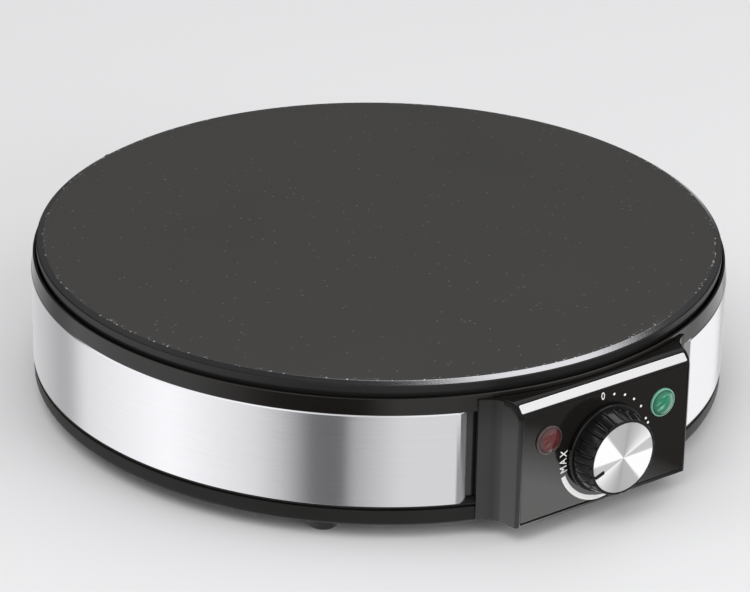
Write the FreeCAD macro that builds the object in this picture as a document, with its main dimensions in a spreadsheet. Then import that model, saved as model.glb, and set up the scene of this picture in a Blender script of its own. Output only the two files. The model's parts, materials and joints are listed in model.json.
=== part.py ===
import FreeCAD, Part
import math
import os
import Sketcher
from FreeCAD import Placement, Rotation, Vector

# Electric crepe maker: a round cast cooking plate in a black collar, steel side bands,
# a shallow base on four feet, a control housing at the front and a cord housing at the rear.
# Origin: on the table, on the axis of the round body. The front faces -Y and up is +Z.

doc = FreeCAD.newDocument("crepe_maker")

# Driving dimensions, in millimetres and degrees
dimensions = [
    ("foot_height", 6.0, "gap between the table and the base"),
    ("foot_inset", 12.4, "distance of each foot from the side of the base"),
    ("foot_angle", 45.0, "direction of the feet from the X axis"),
    ("foot_radius", 6.8, "radius of a foot where it meets the base"),
    ("foot_taper", 0.5, "how much narrower a foot is at the table"),
    ("base_inset", 0.5, "how far the base stays inside the face of the bands"),
    ("base_wall", 2.5, "wall of the base"),
    ("base_round", 8.0, "radius of the lower outer corner of the base"),
    ("base_inner_round", 5.0, "radius of the inner corner of the base"),
    ("base_side", 9.4, "height of the base up to the shadow groove"),
    ("groove_height", 1.2, "height of the shadow groove under the bands"),
    ("groove_depth", 1.5, "depth of the shadow groove"),
    ("ledge_height", 0.8, "thickness of the ledge that carries the bands"),
    ("band_radius", 158.4, "outer radius of the steel bands"),
    ("band_height", 42.2, "height of the steel bands"),
    ("band_thickness", 0.6, "sheet of the steel bands"),
    ("band_angle", 23.4, "angle from the front where a band ends"),
    ("band_fold", 4.0, "length of the folded end of a band"),
    ("band_fold_angle", 28.0, "inward turn of the folded end"),
    ("band_clearance", 0.3, "space between a band and the wall behind it"),
    ("collar_inset", 0.2, "how far the collar stays inside the face of the bands"),
    ("collar_rim", 1.2, "width of the top of the collar"),
    ("collar_height", 7.4, "height of the collar above the bands"),
    ("collar_draft", 0.8, "how much narrower the collar is at its top"),
    ("collar_edge", 0.5, "radius of the upper edges of the collar"),
    ("skirt_wall", 2.4, "wall behind the bands"),
    ("skirt_gap_angle", 27.2, "half angle of the openings of the wall at the housings"),
    ("boss_radius", 5.0, "radius of the screw bosses over the feet"),
    ("boss_step", 1.0, "how much wider the bosses of the base are than those of the collar"),
    ("boss_height", 14.6, "height of the screw bosses of the collar"),
    ("web_thickness", 4.0, "web between a screw boss and the wall"),
    ("plate_slope", 2.8, "width of the sloping edge of the plate"),
    ("plate_gap", 0.4, "space between the plate and the collar"),
    ("plate_rise", 6.5, "height of the plate top above the collar"),
    ("slope_depth", 1.7, "height of the sloping edge of the plate"),
    ("rim_depth", 4.9, "height of the slope and the upright side of the plate"),
    ("rim_skirt", 2.6, "depth of the lip under the side of the plate"),
    ("rim_step", 0.8, "distance of the lip from the side of the plate"),
    ("plate_thickness", 4.5, "thickness of the plate"),
    ("rim_width", 3.0, "width of the lip under the side of the plate"),
    ("element_radius", 95.0, "radius of the heating element ring"),
    ("sheath_radius", 3.5, "radius of the sheath of the heating element"),
    ("element_clearance", 0.1, "space between the sheath and its groove"),
    ("element_gap_angle", 12.0, "half angle of the gap in the heating element ring"),
    ("element_bend", 9.0, "radius of the bends of the heating element"),
    ("element_rib_depth", 7.0, "depth of the rib that holds the heating element"),
    ("element_rib_width", 22.0, "width of the rib that holds the heating element"),
    ("rib_draft", 1.0, "widening of the rib where it meets the plate"),
    ("clip_width", 12.0, "width of a clip of the heating element"),
    ("clip_thickness", 1.0, "sheet of a clip of the heating element"),
    ("clip_screw_offset", 7.3, "distance of a clip screw from the element"),
    ("small_screw_radius", 1.5, "radius of a small screw"),
    ("small_head_radius", 2.8, "radius of the head of a small screw"),
    ("small_head_height", 2.0, "height of the head of a small screw"),
    ("small_screw_length", 5.0, "length of a small screw under its head"),
    ("screw_clearance", 0.1, "space round a screw in its hole"),
    ("post_x", 110.0, "place of the plate posts along X"),
    ("post_y", 55.0, "place of the plate posts along Y"),
    ("post_radius", 8.0, "radius of the plate posts"),
    ("post_top_wall", 5.0, "wall at the top of the posts of the base"),
    ("post_bore", 5.5, "radius of the screw well in a post"),
    ("shield_inset", 6.8, "how far the heat shield stays inside the edge of the plate"),
    ("shield_thickness", 0.8, "sheet of the heat shield"),
    ("shield_rim", 6.0, "height of the turned edge of the heat shield"),
    ("spacer_height", 7.2, "length of the spacers between shield and plate"),
    ("spacer_radius", 6.0, "outer radius of a spacer"),
    ("plate_screw_radius", 2.5, "radius of a plate screw"),
    ("plate_screw_head", 4.6, "radius of the head of a plate screw"),
    ("plate_screw_head_height", 3.4, "height of the head of a plate screw"),
    ("plate_screw_grip", 7.5, "depth of a plate screw in the plate"),
    ("foot_screw_radius", 1.75, "radius of a foot screw"),
    ("foot_screw_head", 3.4, "radius of the head of a foot screw"),
    ("foot_screw_head_height", 2.2, "height of the head of a foot screw"),
    ("foot_screw_well", 3.0, "depth of the head of a foot screw in the foot"),
    ("foot_screw_grip", 11.0, "depth of a foot screw in the collar"),
    ("foot_head_clearance", 0.4, "space round the head of a foot screw"),
    ("hole_spare", 1.0, "depth of a blind screw hole past the end of its screw"),
    ("panel_step", 6.2, "how far the front panel stands out from the bands"),
    ("panel_half_width", 46.5, "half width of the housings at the face"),
    ("flank_half_width", 50.6, "half width of the housings at the round body"),
    ("housing_bottom", 8.0, "height of the lower edge of the housings"),
    ("housing_top", 65.2, "height of the top of the housings"),
    ("housing_wall", 2.5, "wall of the housings"),
    ("housing_ceiling", 3.0, "top wall of the housings"),
    ("cove_radius", 8.0, "radius of the hollow between housing and round body"),
    ("corner_radius", 1.8, "radius of the upright front corners of the housings"),
    ("shoulder_radius", 6.5, "radius of the upper front edge of the housings"),
    ("ear_angle", 31.0, "angle from the front where the ears of a housing end"),
    ("ear_clearance", 0.3, "space between the ears and the wall of the collar"),
    ("body_clearance", 0.1, "space between a housing and the round body"),
    ("ear_screw_angle", 29.2, "angle from the front of the ear screws"),
    ("ear_screw_height", 38.0, "height of the ear screws"),
    ("ear_screw_grip", 1.7, "depth of an ear screw in the wall of the collar"),
    ("fascia_thickness", 2.0, "thickness of the front fascia"),
    ("fascia_margin", 1.5, "frame of the housing round the fascia"),
    ("fascia_top", 60.2, "height of the top of the fascia recess"),
    ("fascia_clearance", 0.15, "space round the fascia"),
    ("fascia_bevel", 0.4, "bevel of the front edges of the fascia"),
    ("fascia_corner", 0.8, "corner radius of the fascia"),
    ("peg_radius", 1.5, "radius of the pegs of the fascia"),
    ("peg_inset", 6.5, "distance of the pegs from the sides of the housing"),
    ("peg_low", 14.0, "height of the lower pegs"),
    ("peg_high", 56.5, "height of the upper pegs"),
    ("peg_length", 3.0, "length of the pegs"),
    ("trim_inset", 1.3, "distance of each end of the trim strip from the side of the housing"),
    ("trim_width", 4.1, "width of the trim strip"),
    ("trim_thickness", 1.0, "thickness of the trim strip"),
    ("trim_corner", 0.8, "corner radius of the trim strip"),
    ("trim_tilt", 46.0, "tilt of the trim strip towards the front"),
    ("trim_seat", 5.2, "distance of the strip seat from the centre of the shoulder"),
    ("trim_clearance", 0.05, "space round the trim strip"),
    ("knob_height", 33.6, "height of the knob axis"),
    ("knob_reach", 12.7, "distance of the knob face from the panel"),
    ("knob_gap", 0.8, "space between the knob and the panel"),
    ("knob_flange_radius", 20.2, "radius of the flange of the knob"),
    ("knob_flange_height", 1.6, "thickness of the flange of the knob"),
    ("knob_grip_radius", 19.0, "radius of the grip of the knob at the flange"),
    ("knob_face_radius", 17.5, "radius of the grip of the knob at its face"),
    ("knob_edge", 0.5, "bevel of the face edge of the knob"),
    ("knob_shell", 2.6, "outer wall of the knob"),
    ("knob_hub_radius", 6.2, "radius of the hub of the knob"),
    ("knob_roof", 2.4, "wall under the face of the knob"),
    ("flute_count", 24.0, "number of flutes of the knob"),
    ("flute_radius", 0.9, "radius of a flute of the knob"),
    ("flute_outset", 0.27, "distance of the centre of a flute outside the face of the knob"),
    ("cap_radius", 16.1, "radius of the metal cap"),
    ("cap_thickness", 0.9, "thickness of the metal cap"),
    ("cap_clearance", 0.1, "space round the metal cap"),
    ("cap_bevel", 0.2, "bevel of the edge of the metal cap"),
    ("cap_proud", 0.3, "height of the metal cap above the rim of the knob"),
    ("notch_depth", 4.6, "length of the pointer notch"),
    ("notch_width", 1.9, "width of the pointer notch"),
    ("pointer_angle", 250.0, "direction of the pointer, clockwise from the top"),
    ("shaft_radius", 3.0, "radius of the thermostat shaft"),
    ("shaft_flat", 2.0, "distance of the flat from the shaft axis"),
    ("shaft_inside", 12.5, "length of the shaft behind the panel"),
    ("shaft_outside", 9.5, "length of the shaft before the panel"),
    ("shaft_end_gap", 0.3, "space behind the end of the shaft"),
    ("shaft_running_fit", 0.06, "running fit of the shaft in the thermostat"),
    ("shaft_grip_fit", 0.03, "fit of the shaft in the knob"),
    ("bush_radius", 5.2, "radius of the thermostat bush"),
    ("bush_length", 3.0, "length of the thermostat bush before its plate"),
    ("bush_clearance", 0.3, "space round the thermostat bush"),
    ("thermostat_width", 34.0, "width of the thermostat"),
    ("thermostat_height", 28.0, "height of the thermostat"),
    ("thermostat_depth", 24.0, "depth of the thermostat"),
    ("thermostat_plate", 1.5, "mounting plate of the thermostat"),
    ("thermostat_corner", 3.0, "corner radius of the thermostat"),
    ("blade_width", 5.2, "width of a blade of the thermostat"),
    ("thermostat_screw_x", 14.0, "place of the thermostat screws along X"),
    ("panel_screw_radius", 1.9, "radius of a thermostat screw"),
    ("panel_screw_head", 3.4, "radius of the head of a thermostat screw"),
    ("panel_screw_head_height", 1.4, "height of the head of a thermostat screw"),
    ("panel_screw_length", 6.0, "length of a thermostat screw under its head"),
    ("lens_x", 31.0, "place of the lenses along X"),
    ("lens_height", 46.0, "height of the lenses"),
    ("lens_barrel_radius", 5.9, "radius of the barrel of a lens"),
    ("lens_flange_radius", 6.5, "radius of the flange of a lens"),
    ("lens_flange_height", 1.0, "thickness of the flange of a lens"),
    ("lens_bevel", 0.3, "bevel of the flange of a lens"),
    ("lens_dome_radius", 5.7, "radius of the dome of a lens"),
    ("lens_dome_height", 1.4, "height of the dome of a lens"),
    ("lens_barrel_length", 12.0, "length of the barrel of a lens"),
    ("lens_bore_radius", 4.3, "radius of the bore of a lens"),
    ("lens_clearance", 0.15, "space round the barrel of a lens"),
    ("lamp_clearance", 0.2, "space round a lamp in its lens"),
    ("lamp_tail", 2.0, "length of a lamp behind its lens"),
    ("nut_radius", 8.5, "radius of a spring nut"),
    ("nut_thickness", 0.5, "sheet of a spring nut"),
    ("gland_height", 33.6, "height of the cord gland"),
    ("gland_bore", 3.6, "radius of the bore of the cord gland"),
    ("gland_neck_radius", 6.9, "radius of the neck of the cord gland"),
    ("gland_flange_radius", 9.5, "radius of the outer flange of the cord gland"),
    ("gland_flange_height", 2.4, "thickness of the outer flange of the cord gland"),
    ("gland_sleeve_radius", 6.4, "radius of the sleeve at the flange"),
    ("gland_tip_radius", 5.4, "radius of the sleeve at its end"),
    ("gland_inner_radius", 8.4, "radius of the inner flange of the cord gland"),
    ("gland_inner_height", 2.0, "thickness of the inner flange of the cord gland"),
    ("gland_clearance", 0.05, "space round the neck of the cord gland"),
    ("vent_count", 12.0, "number of vents in the base"),
    ("vent_inner", 38.0, "distance of a vent from the centre"),
    ("vent_length", 26.0, "length of a vent"),
    ("vent_width", 4.0, "width of a vent"),
    ("bulb_radius", 3.0, "radius of the sensor bulb"),
    ("bulb_length", 50.0, "length of the sensor bulb"),
    ("bulb_y", -45.0, "place of the sensor bulb along Y"),
    ("capillary_radius", 0.9, "radius of the capillary tube"),
    ("fuse_radius", 2.2, "radius of the thermal fuse"),
    ("fuse_length", 14.0, "length of the thermal fuse"),
    ("fuse_y", 45.0, "place of the thermal fuse along Y"),
    ("saddle_sheet", 0.8, "sheet of the saddle clips"),
    ("saddle_width", 9.0, "width of the saddle clips"),
    ("saddle_foot", 8.0, "length of each foot of the saddle clips"),
    ("bead_radius", 4.0, "radius of a ceramic bead"),
    ("bead_height", 4.0, "height of a ceramic bead"),
    ("pin_radius", 1.6, "radius of a pin of the heating element"),
    ("pin_length", 11.0, "length of a pin of the heating element"),
    ("leg_end", 44.0, "height of the ends of the heating element"),
    ("leg_clearance", 3.0, "space round the legs in the heat shield"),
    ("block_inset", 39.9, "distance of the terminal block from the side of the base"),
    ("block_length", 46.0, "length of the terminal block"),
    ("block_depth", 17.0, "depth of the terminal block"),
    ("block_height", 13.0, "height of the terminal block"),
    ("terminal_pitch", 12.0, "distance between the terminals"),
    ("terminal_well", 2.6, "radius of the wells of the terminal screws"),
    ("block_screw_x", 18.0, "place of the screws of the terminal block"),
    ("wire_radius", 1.3, "radius of an internal wire"),
]

sheet = doc.addObject("Spreadsheet::Sheet", "Sizes")


# A number of the sheet, or a result worked out from such numbers, with its formula
class Size:
    def __init__(self, value, formula, bound=True):
        self.value = value
        self.formula = formula
        self.bound = bound

    def joined(self, other, sign, value):
        other = as_size(other)
        formula = "(" + self.formula + " " + sign + " " + other.formula + ")"
        return Size(value, formula, self.bound or other.bound)

    def __add__(self, other):
        return self.joined(other, "+", self.value + as_size(other).value)

    def __sub__(self, other):
        return self.joined(other, "-", self.value - as_size(other).value)

    def __mul__(self, other):
        return self.joined(other, "*", self.value * as_size(other).value)

    def __truediv__(self, other):
        return self.joined(other, "/", self.value / as_size(other).value)

    def __rmul__(self, other):
        return self * other

    def __radd__(self, other):
        return self + other

    def __rsub__(self, other):
        return as_size(other) - self

    def __neg__(self):
        return self * -1


def as_size(number):
    if isinstance(number, Size):
        return number
    return Size(float(number), "(" + repr(float(number)) + ")", False)


def sine(angle):
    return Size(math.sin(math.radians(angle.value)), "sin(" + angle.formula + ")", angle.bound)


def cosine(angle):
    return Size(math.cos(math.radians(angle.value)), "cos(" + angle.formula + ")", angle.bound)


def tangent(angle):
    return Size(math.tan(math.radians(angle.value)), "tan(" + angle.formula + ")", angle.bound)


def root(number):
    return Size(math.sqrt(number.value), "sqrt(" + number.formula + ")", number.bound)


def bind(target, path, size):
    target.setExpression(path, as_size(size).formula)


# Each row of the sheet becomes a value of the same name here
class Named:
    pass


of = Named()
for row, (name, number, meaning) in enumerate(dimensions, start=1):
    sheet.set("A" + str(row), meaning)
    sheet.set("B" + str(row), repr(number))
    sheet.setAlias("B" + str(row), name)
    setattr(of, name, Size(number, "Sizes." + name))
doc.recompute()

# Radii, reaches and places that follow the bands and the housings
of.base_radius = of.band_radius - of.base_inset
of.foot_reach = of.base_radius - of.foot_inset
of.collar_radius = of.band_radius - of.collar_inset
of.collar_top_radius = of.collar_radius - of.collar_draft
of.plate_radius = of.collar_top_radius - of.collar_rim - of.plate_gap
of.cooking_radius = of.plate_radius - of.plate_slope
of.shield_radius = of.plate_radius - of.shield_inset
of.panel_reach = of.band_radius + of.panel_step
of.block_y = of.base_radius - of.block_inset
of.trim_half_length = of.panel_half_width - of.trim_inset
of.peg_x = of.panel_half_width - of.peg_inset

# Heights and radii that several pieces share
band_bottom = of.foot_height + of.base_side + of.groove_height + of.ledge_height
collar_bottom = band_bottom + of.band_height
collar_top = collar_bottom + of.collar_height
plate_top = collar_top + of.plate_rise
plate_under = plate_top - of.plate_thickness
rib_under = plate_under - of.element_rib_depth
shield_top = rib_under - of.spacer_height
shield_under = shield_top - of.shield_thickness
element_height = rib_under + of.sheath_radius
collar_mouth = of.plate_radius + of.plate_gap
skirt_outer = of.band_radius - of.band_thickness - of.band_clearance
skirt_inner = skirt_outer - of.skirt_wall
ear_outer = skirt_inner - of.ear_clearance
ear_inner = ear_outer - of.skirt_wall
base_floor = of.foot_height + of.base_wall
foot_x = of.foot_reach * cosine(of.foot_angle)
foot_y = of.foot_reach * sine(of.foot_angle)
inner_face = of.panel_reach - of.fascia_thickness - of.housing_wall
rear_inner_face = of.panel_reach - of.housing_wall
post_seats = [(of.post_x, of.post_y), (-of.post_x, of.post_y),
              (-of.post_x, -of.post_y), (of.post_x, -of.post_y)]
foot_seats = [(foot_x, foot_y), (-foot_x, foot_y), (-foot_x, -foot_y), (foot_x, -foot_y)]
lens_seats = [(-of.lens_x, of.lens_height), (of.lens_x, of.lens_height)]
peg_seats = [(side * of.peg_x, height) for side in (-1, 1) for height in (of.peg_low, of.peg_high)]
panel_screw_seats = [(side * of.thermostat_screw_x, of.knob_height) for side in (-1, 1)]


# Bodies and sketches
sub_parts = []


def make_body(label):
    body = doc.addObject("PartDesign::Body", label)
    body.Label = label
    body.AllowCompound = True
    sub_parts.append(body)
    return body


def origin_feature(body, role):
    return [feature for feature in body.Origin.OriginFeatures if feature.Role == role][0]


# Turns the body's own Z axis to the front, its Y axis up, and moves it to the panel
def face_front(body, x, z):
    body.Placement = Placement(Vector(0, 0, 0), Rotation(Vector(1, 0, 0), 90))
    bind(body, "Placement.Base.x", x)
    bind(body, "Placement.Base.y", -of.panel_reach)
    bind(body, "Placement.Base.z", z)


def add_sketch(body, name, plane="XY_Plane", offset=None):
    sketch = body.newObject("Sketcher::SketchObject", name)
    sketch.AttachmentSupport = [(origin_feature(body, plane), "")]
    sketch.MapMode = "FlatFace"
    if offset is not None:
        bind(sketch, "AttachmentOffset.Base.z", offset)
    return sketch


def constrain(sketch, kind, places, size):
    size = as_size(size)
    index = sketch.addConstraint(Sketcher.Constraint(kind, *places, size.value))
    if size.bound:
        bind(sketch, "Constraints[" + str(index) + "]", size)


def add_circle(sketch, x, y, radius):
    circle = Part.Circle(Vector(as_size(x).value, as_size(y).value, 0), Vector(0, 0, 1), radius.value)
    index = sketch.addGeometry(circle)
    constrain(sketch, "DistanceX", (-1, 1, index, 3), x)
    constrain(sketch, "DistanceY", (-1, 1, index, 3), y)
    constrain(sketch, "Radius", (index,), radius)


def arc_between(start, end, radius, clockwise):
    chord = end - start
    middle = (start + end) * 0.5
    rise = math.sqrt(max(radius ** 2 - (chord.Length / 2) ** 2, 0.0))
    across = Vector(-chord.y, chord.x, 0).normalize()
    centre = middle - across * rise if clockwise else middle + across * rise
    first, last = (end, start) if clockwise else (start, end)
    start_angle = math.atan2(first.y - centre.y, first.x - centre.x)
    end_angle = math.atan2(last.y - centre.y, last.x - centre.x)
    circle = Part.Circle(centre, Vector(0, 0, 1), radius)
    return Part.ArcOfCircle(circle, start_angle, end_angle)


# Draws a closed outline. A corner is (x, y), or (x, y, radius, clockwise) where an arc leads to it.
def add_outline(sketch, corners):
    spots = [Vector(as_size(corner[0]).value, as_size(corner[1]).value, 0) for corner in corners]
    indices = []
    for place, corner in enumerate(corners):
        start = spots[place - 1]
        end = spots[place]
        if len(corner) == 2:
            indices.append((sketch.addGeometry(Part.LineSegment(start, end)), 1, 2))
            continue
        radius = as_size(corner[2])
        index = sketch.addGeometry(arc_between(start, end, radius.value, corner[3]))
        indices.append((index, 2, 1) if corner[3] else (index, 1, 2))
        constrain(sketch, "Radius", (index,), radius)
    for place, corner in enumerate(corners):
        index, first, last = indices[place]
        after, after_first, after_last = indices[(place + 1) % len(corners)]
        sketch.addConstraint(Sketcher.Constraint("Coincident", index, last, after, after_first))
        constrain(sketch, "DistanceX", (-1, 1, index, last), corner[0])
        constrain(sketch, "DistanceY", (-1, 1, index, last), corner[1])


def add_box(sketch, left, right, low, high):
    add_outline(sketch, [(left, low), (right, low), (right, high), (left, high)])


def add_rounded_box(sketch, left, right, low, high, radius):
    add_outline(sketch, [
        (left + radius, low), (right - radius, low), (right, low + radius, radius, False),
        (right, high - radius), (right - radius, high, radius, False),
        (left + radius, high), (left, high - radius, radius, False),
        (left, low + radius), (left + radius, low, radius, False)][1:])


# Features
def add_feature(body, kind, name, sketch):
    feature = body.newObject("PartDesign::" + kind, name)
    feature.Profile = sketch
    return feature


def pad(body, name, sketch, length, backward=False):
    feature = add_feature(body, "Pad", name, sketch)
    feature.Reversed = backward
    bind(feature, "Length", length)
    return feature


def pocket(body, name, sketch, length, forward=False):
    feature = add_feature(body, "Pocket", name, sketch)
    feature.Reversed = forward
    bind(feature, "Length", length)
    return feature


def revolve(body, name, sketch, axis="V_Axis"):
    feature = add_feature(body, "Revolution", name, sketch)
    feature.ReferenceAxis = (sketch, [axis])
    feature.Angle = 360
    return feature


def polar(body, name, originals, count):
    feature = body.newObject("PartDesign::PolarPattern", name)
    feature.Originals = originals
    feature.Axis = (origin_feature(body, "Z_Axis"), [""])
    feature.Angle = 360
    bind(feature, "Occurrences", count)
    body.Tip = feature
    return feature


# Rounds or bevels the edges of the body's last feature that the test picks
def treat_edges(body, kind, name, wanted, size):
    doc.recompute()
    base = body.Tip
    names = []
    for number, edge in enumerate(base.Shape.Edges, start=1):
        if wanted(edge):
            names.append("Edge" + str(number))
    feature = body.newObject("PartDesign::" + kind, name)
    feature.Base = (base, names)
    bind(feature, "Radius" if kind == "Fillet" else "Size", size)
    return feature


def is_upright_at(edge, x, y):
    box = edge.BoundBox
    flat = box.XLength < 0.01 and box.YLength < 0.01
    return flat and abs(box.Center.x - x.value) < 0.1 and abs(box.Center.y - y.value) < 0.1


def is_level_at(edge, height):
    box = edge.BoundBox
    return box.ZLength < 0.01 and abs(box.Center.z - height.value) < 0.01


def is_in_front_plane(edge, y):
    box = edge.BoundBox
    return box.YLength < 0.01 and abs(box.Center.y - y.value) < 0.01


def is_ring_at(edge, radius, height):
    level = is_level_at(edge, height)
    return level and hasattr(edge.Curve, "Radius") and abs(edge.Curve.Radius - radius.value) < 0.01


# A group of upright tubes or rods, one at each seat
def make_rods(label, seats, bottom, height, outer, inner=None):
    body = make_body(label)
    sketch = add_sketch(body, label + "_rings", offset=bottom)
    for x, y in seats:
        add_circle(sketch, x, y, outer)
        if inner is not None:
            add_circle(sketch, x, y, inner)
    pad(body, label + "_height", sketch, height)
    return body


# A group of screws: heads start at head_place along the plane's normal, shanks follow them
def make_screws(label, seats, plane, head_place, head_radius, head_height, radius, length, inward):
    body = make_body(label)
    shank_place = head_place if inward else head_place + head_height
    head_sketch = add_sketch(body, label + "_heads", plane, head_place)
    shank_sketch = add_sketch(body, label + "_shanks", plane, shank_place)
    for x, y in seats:
        add_circle(head_sketch, x, y, head_radius)
        add_circle(shank_sketch, x, y, radius)
    pad(body, label + "_head_height", head_sketch, head_height)
    pad(body, label + "_shank_length", shank_sketch, length, inward)
    return body


# Base
def make_base_pan():
    body = make_body("base_pan")
    groove_radius = of.base_radius - of.groove_depth
    inner_radius = groove_radius - of.base_wall
    side_top = of.foot_height + of.base_side
    inner_low = base_floor + of.base_inner_round
    profile = add_sketch(body, "base_profile", "XZ_Plane")
    add_outline(profile, [
        (0, of.foot_height),
        (of.base_radius - of.base_round, of.foot_height),
        (of.base_radius, of.foot_height + of.base_round, of.base_round, False),
        (of.base_radius, side_top),
        (groove_radius, side_top),
        (groove_radius, side_top + of.groove_height),
        (of.collar_radius, side_top + of.groove_height),
        (of.collar_radius, band_bottom),
        (inner_radius, band_bottom),
        (inner_radius, inner_low),
        (inner_radius - of.base_inner_round, base_floor, of.base_inner_round, True),
        (0, base_floor)])
    revolve(body, "base_bowl", profile)
    edge_round = of.base_wall / 5
    treat_edges(body, "Fillet", "base_edge",
                lambda edge: is_ring_at(edge, of.base_radius, side_top), edge_round)
    bosses = add_sketch(body, "base_foot_bosses", offset=base_floor)
    for x, y in foot_seats:
        add_circle(bosses, x, y, of.boss_radius + of.boss_step)
    pad(body, "base_foot_boss_height", bosses, band_bottom - base_floor)
    posts = add_sketch(body, "base_posts", offset=base_floor)
    for x, y in post_seats:
        add_circle(posts, x, y, of.post_radius)
    pad(body, "base_post_height", posts, shield_under - base_floor)
    wells = add_sketch(body, "base_post_wells", offset=shield_under - of.post_top_wall)
    for x, y in post_seats:
        add_circle(wells, x, y, of.post_bore)
    pocket(body, "base_post_well_depth", wells, shield_under - of.post_top_wall - of.foot_height)
    bores = add_sketch(body, "base_post_bores", offset=shield_under)
    for x, y in post_seats:
        add_circle(bores, x, y, of.plate_screw_radius + of.screw_clearance)
    pocket(body, "base_post_bore_depth", bores, of.post_top_wall)
    holes = add_sketch(body, "base_foot_holes", offset=band_bottom)
    for x, y in foot_seats:
        add_circle(holes, x, y, of.foot_screw_radius + of.screw_clearance)
    pocket(body, "base_foot_hole_depth", holes, band_bottom - of.foot_height)
    add_block_holes(body)
    slot = add_sketch(body, "base_vent", offset=base_floor)
    half = of.vent_width / 2
    add_outline(slot, [
        (of.vent_inner + of.vent_length, -half),
        (of.vent_inner + of.vent_length + half, 0, half, False),
        (of.vent_inner + of.vent_length, half, half, False),
        (of.vent_inner, half),
        (of.vent_inner - half, 0, half, False),
        (of.vent_inner, -half, half, False)])
    vent = pocket(body, "base_vent_depth", slot, of.base_wall)
    polar(body, "base_vents", [vent], of.vent_count)


def add_block_holes(body):
    holes = add_sketch(body, "base_block_holes", offset=base_floor)
    for side in (-1, 1):
        add_circle(holes, side * of.block_screw_x, of.block_y, of.small_screw_radius + of.screw_clearance)
    pocket(body, "base_block_hole_depth", holes, of.base_wall)


def make_feet():
    names = ["foot_rear_right", "foot_rear_left", "foot_front_left", "foot_front_right"]
    well = of.foot_screw_head + of.foot_head_clearance
    hole = of.foot_screw_radius + of.screw_clearance
    low_radius = of.foot_radius - of.foot_taper
    for name, (x, y) in zip(names, foot_seats):
        body = make_body(name)
        profile = add_sketch(body, name + "_profile", "XZ_Plane")
        add_outline(profile, [
            (well, 0), (low_radius, 0), (of.foot_radius, of.foot_height),
            (hole, of.foot_height), (hole, of.foot_screw_well), (well, of.foot_screw_well)])
        revolve(body, name + "_turn", profile)
        bind(body, "Placement.Base.x", x)
        bind(body, "Placement.Base.y", y)


# Side bands
def make_band(label, side):
    body = make_body(label)
    angle = of.band_angle
    fold = of.band_fold_angle
    along_x = -cosine(angle)
    along_y = -sine(angle)
    inward_x = -sine(angle)
    inward_y = cosine(angle)
    bend_x = of.band_radius * sine(angle)
    bend_y = -of.band_radius * cosine(angle)
    end_x = bend_x + of.band_fold * (cosine(fold) * along_x + sine(fold) * inward_x)
    end_y = bend_y + of.band_fold * (cosine(fold) * along_y + sine(fold) * inward_y)
    mitre = of.band_thickness * tangent(fold / 2)
    inner_bend_x = bend_x + of.band_thickness * inward_x - mitre * along_x
    inner_bend_y = bend_y + of.band_thickness * inward_y - mitre * along_y
    inner_end_x = end_x + of.band_thickness * (cosine(fold) * inward_x - sine(fold) * along_x)
    inner_end_y = end_y + of.band_thickness * (cosine(fold) * inward_y - sine(fold) * along_y)
    clockwise = side < 0
    inner_radius = of.band_radius - of.band_thickness
    sketch = add_sketch(body, label + "_plan", offset=band_bottom)
    add_outline(sketch, [
        (side * bend_x, bend_y),
        (side * bend_x, -bend_y, of.band_radius, clockwise),
        (side * end_x, -end_y),
        (side * inner_end_x, -inner_end_y),
        (side * inner_bend_x, -inner_bend_y),
        (side * inner_bend_x, inner_bend_y, inner_radius, not clockwise),
        (side * inner_end_x, inner_end_y),
        (side * end_x, end_y)])
    pad(body, label + "_height", sketch, of.band_height)


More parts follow.
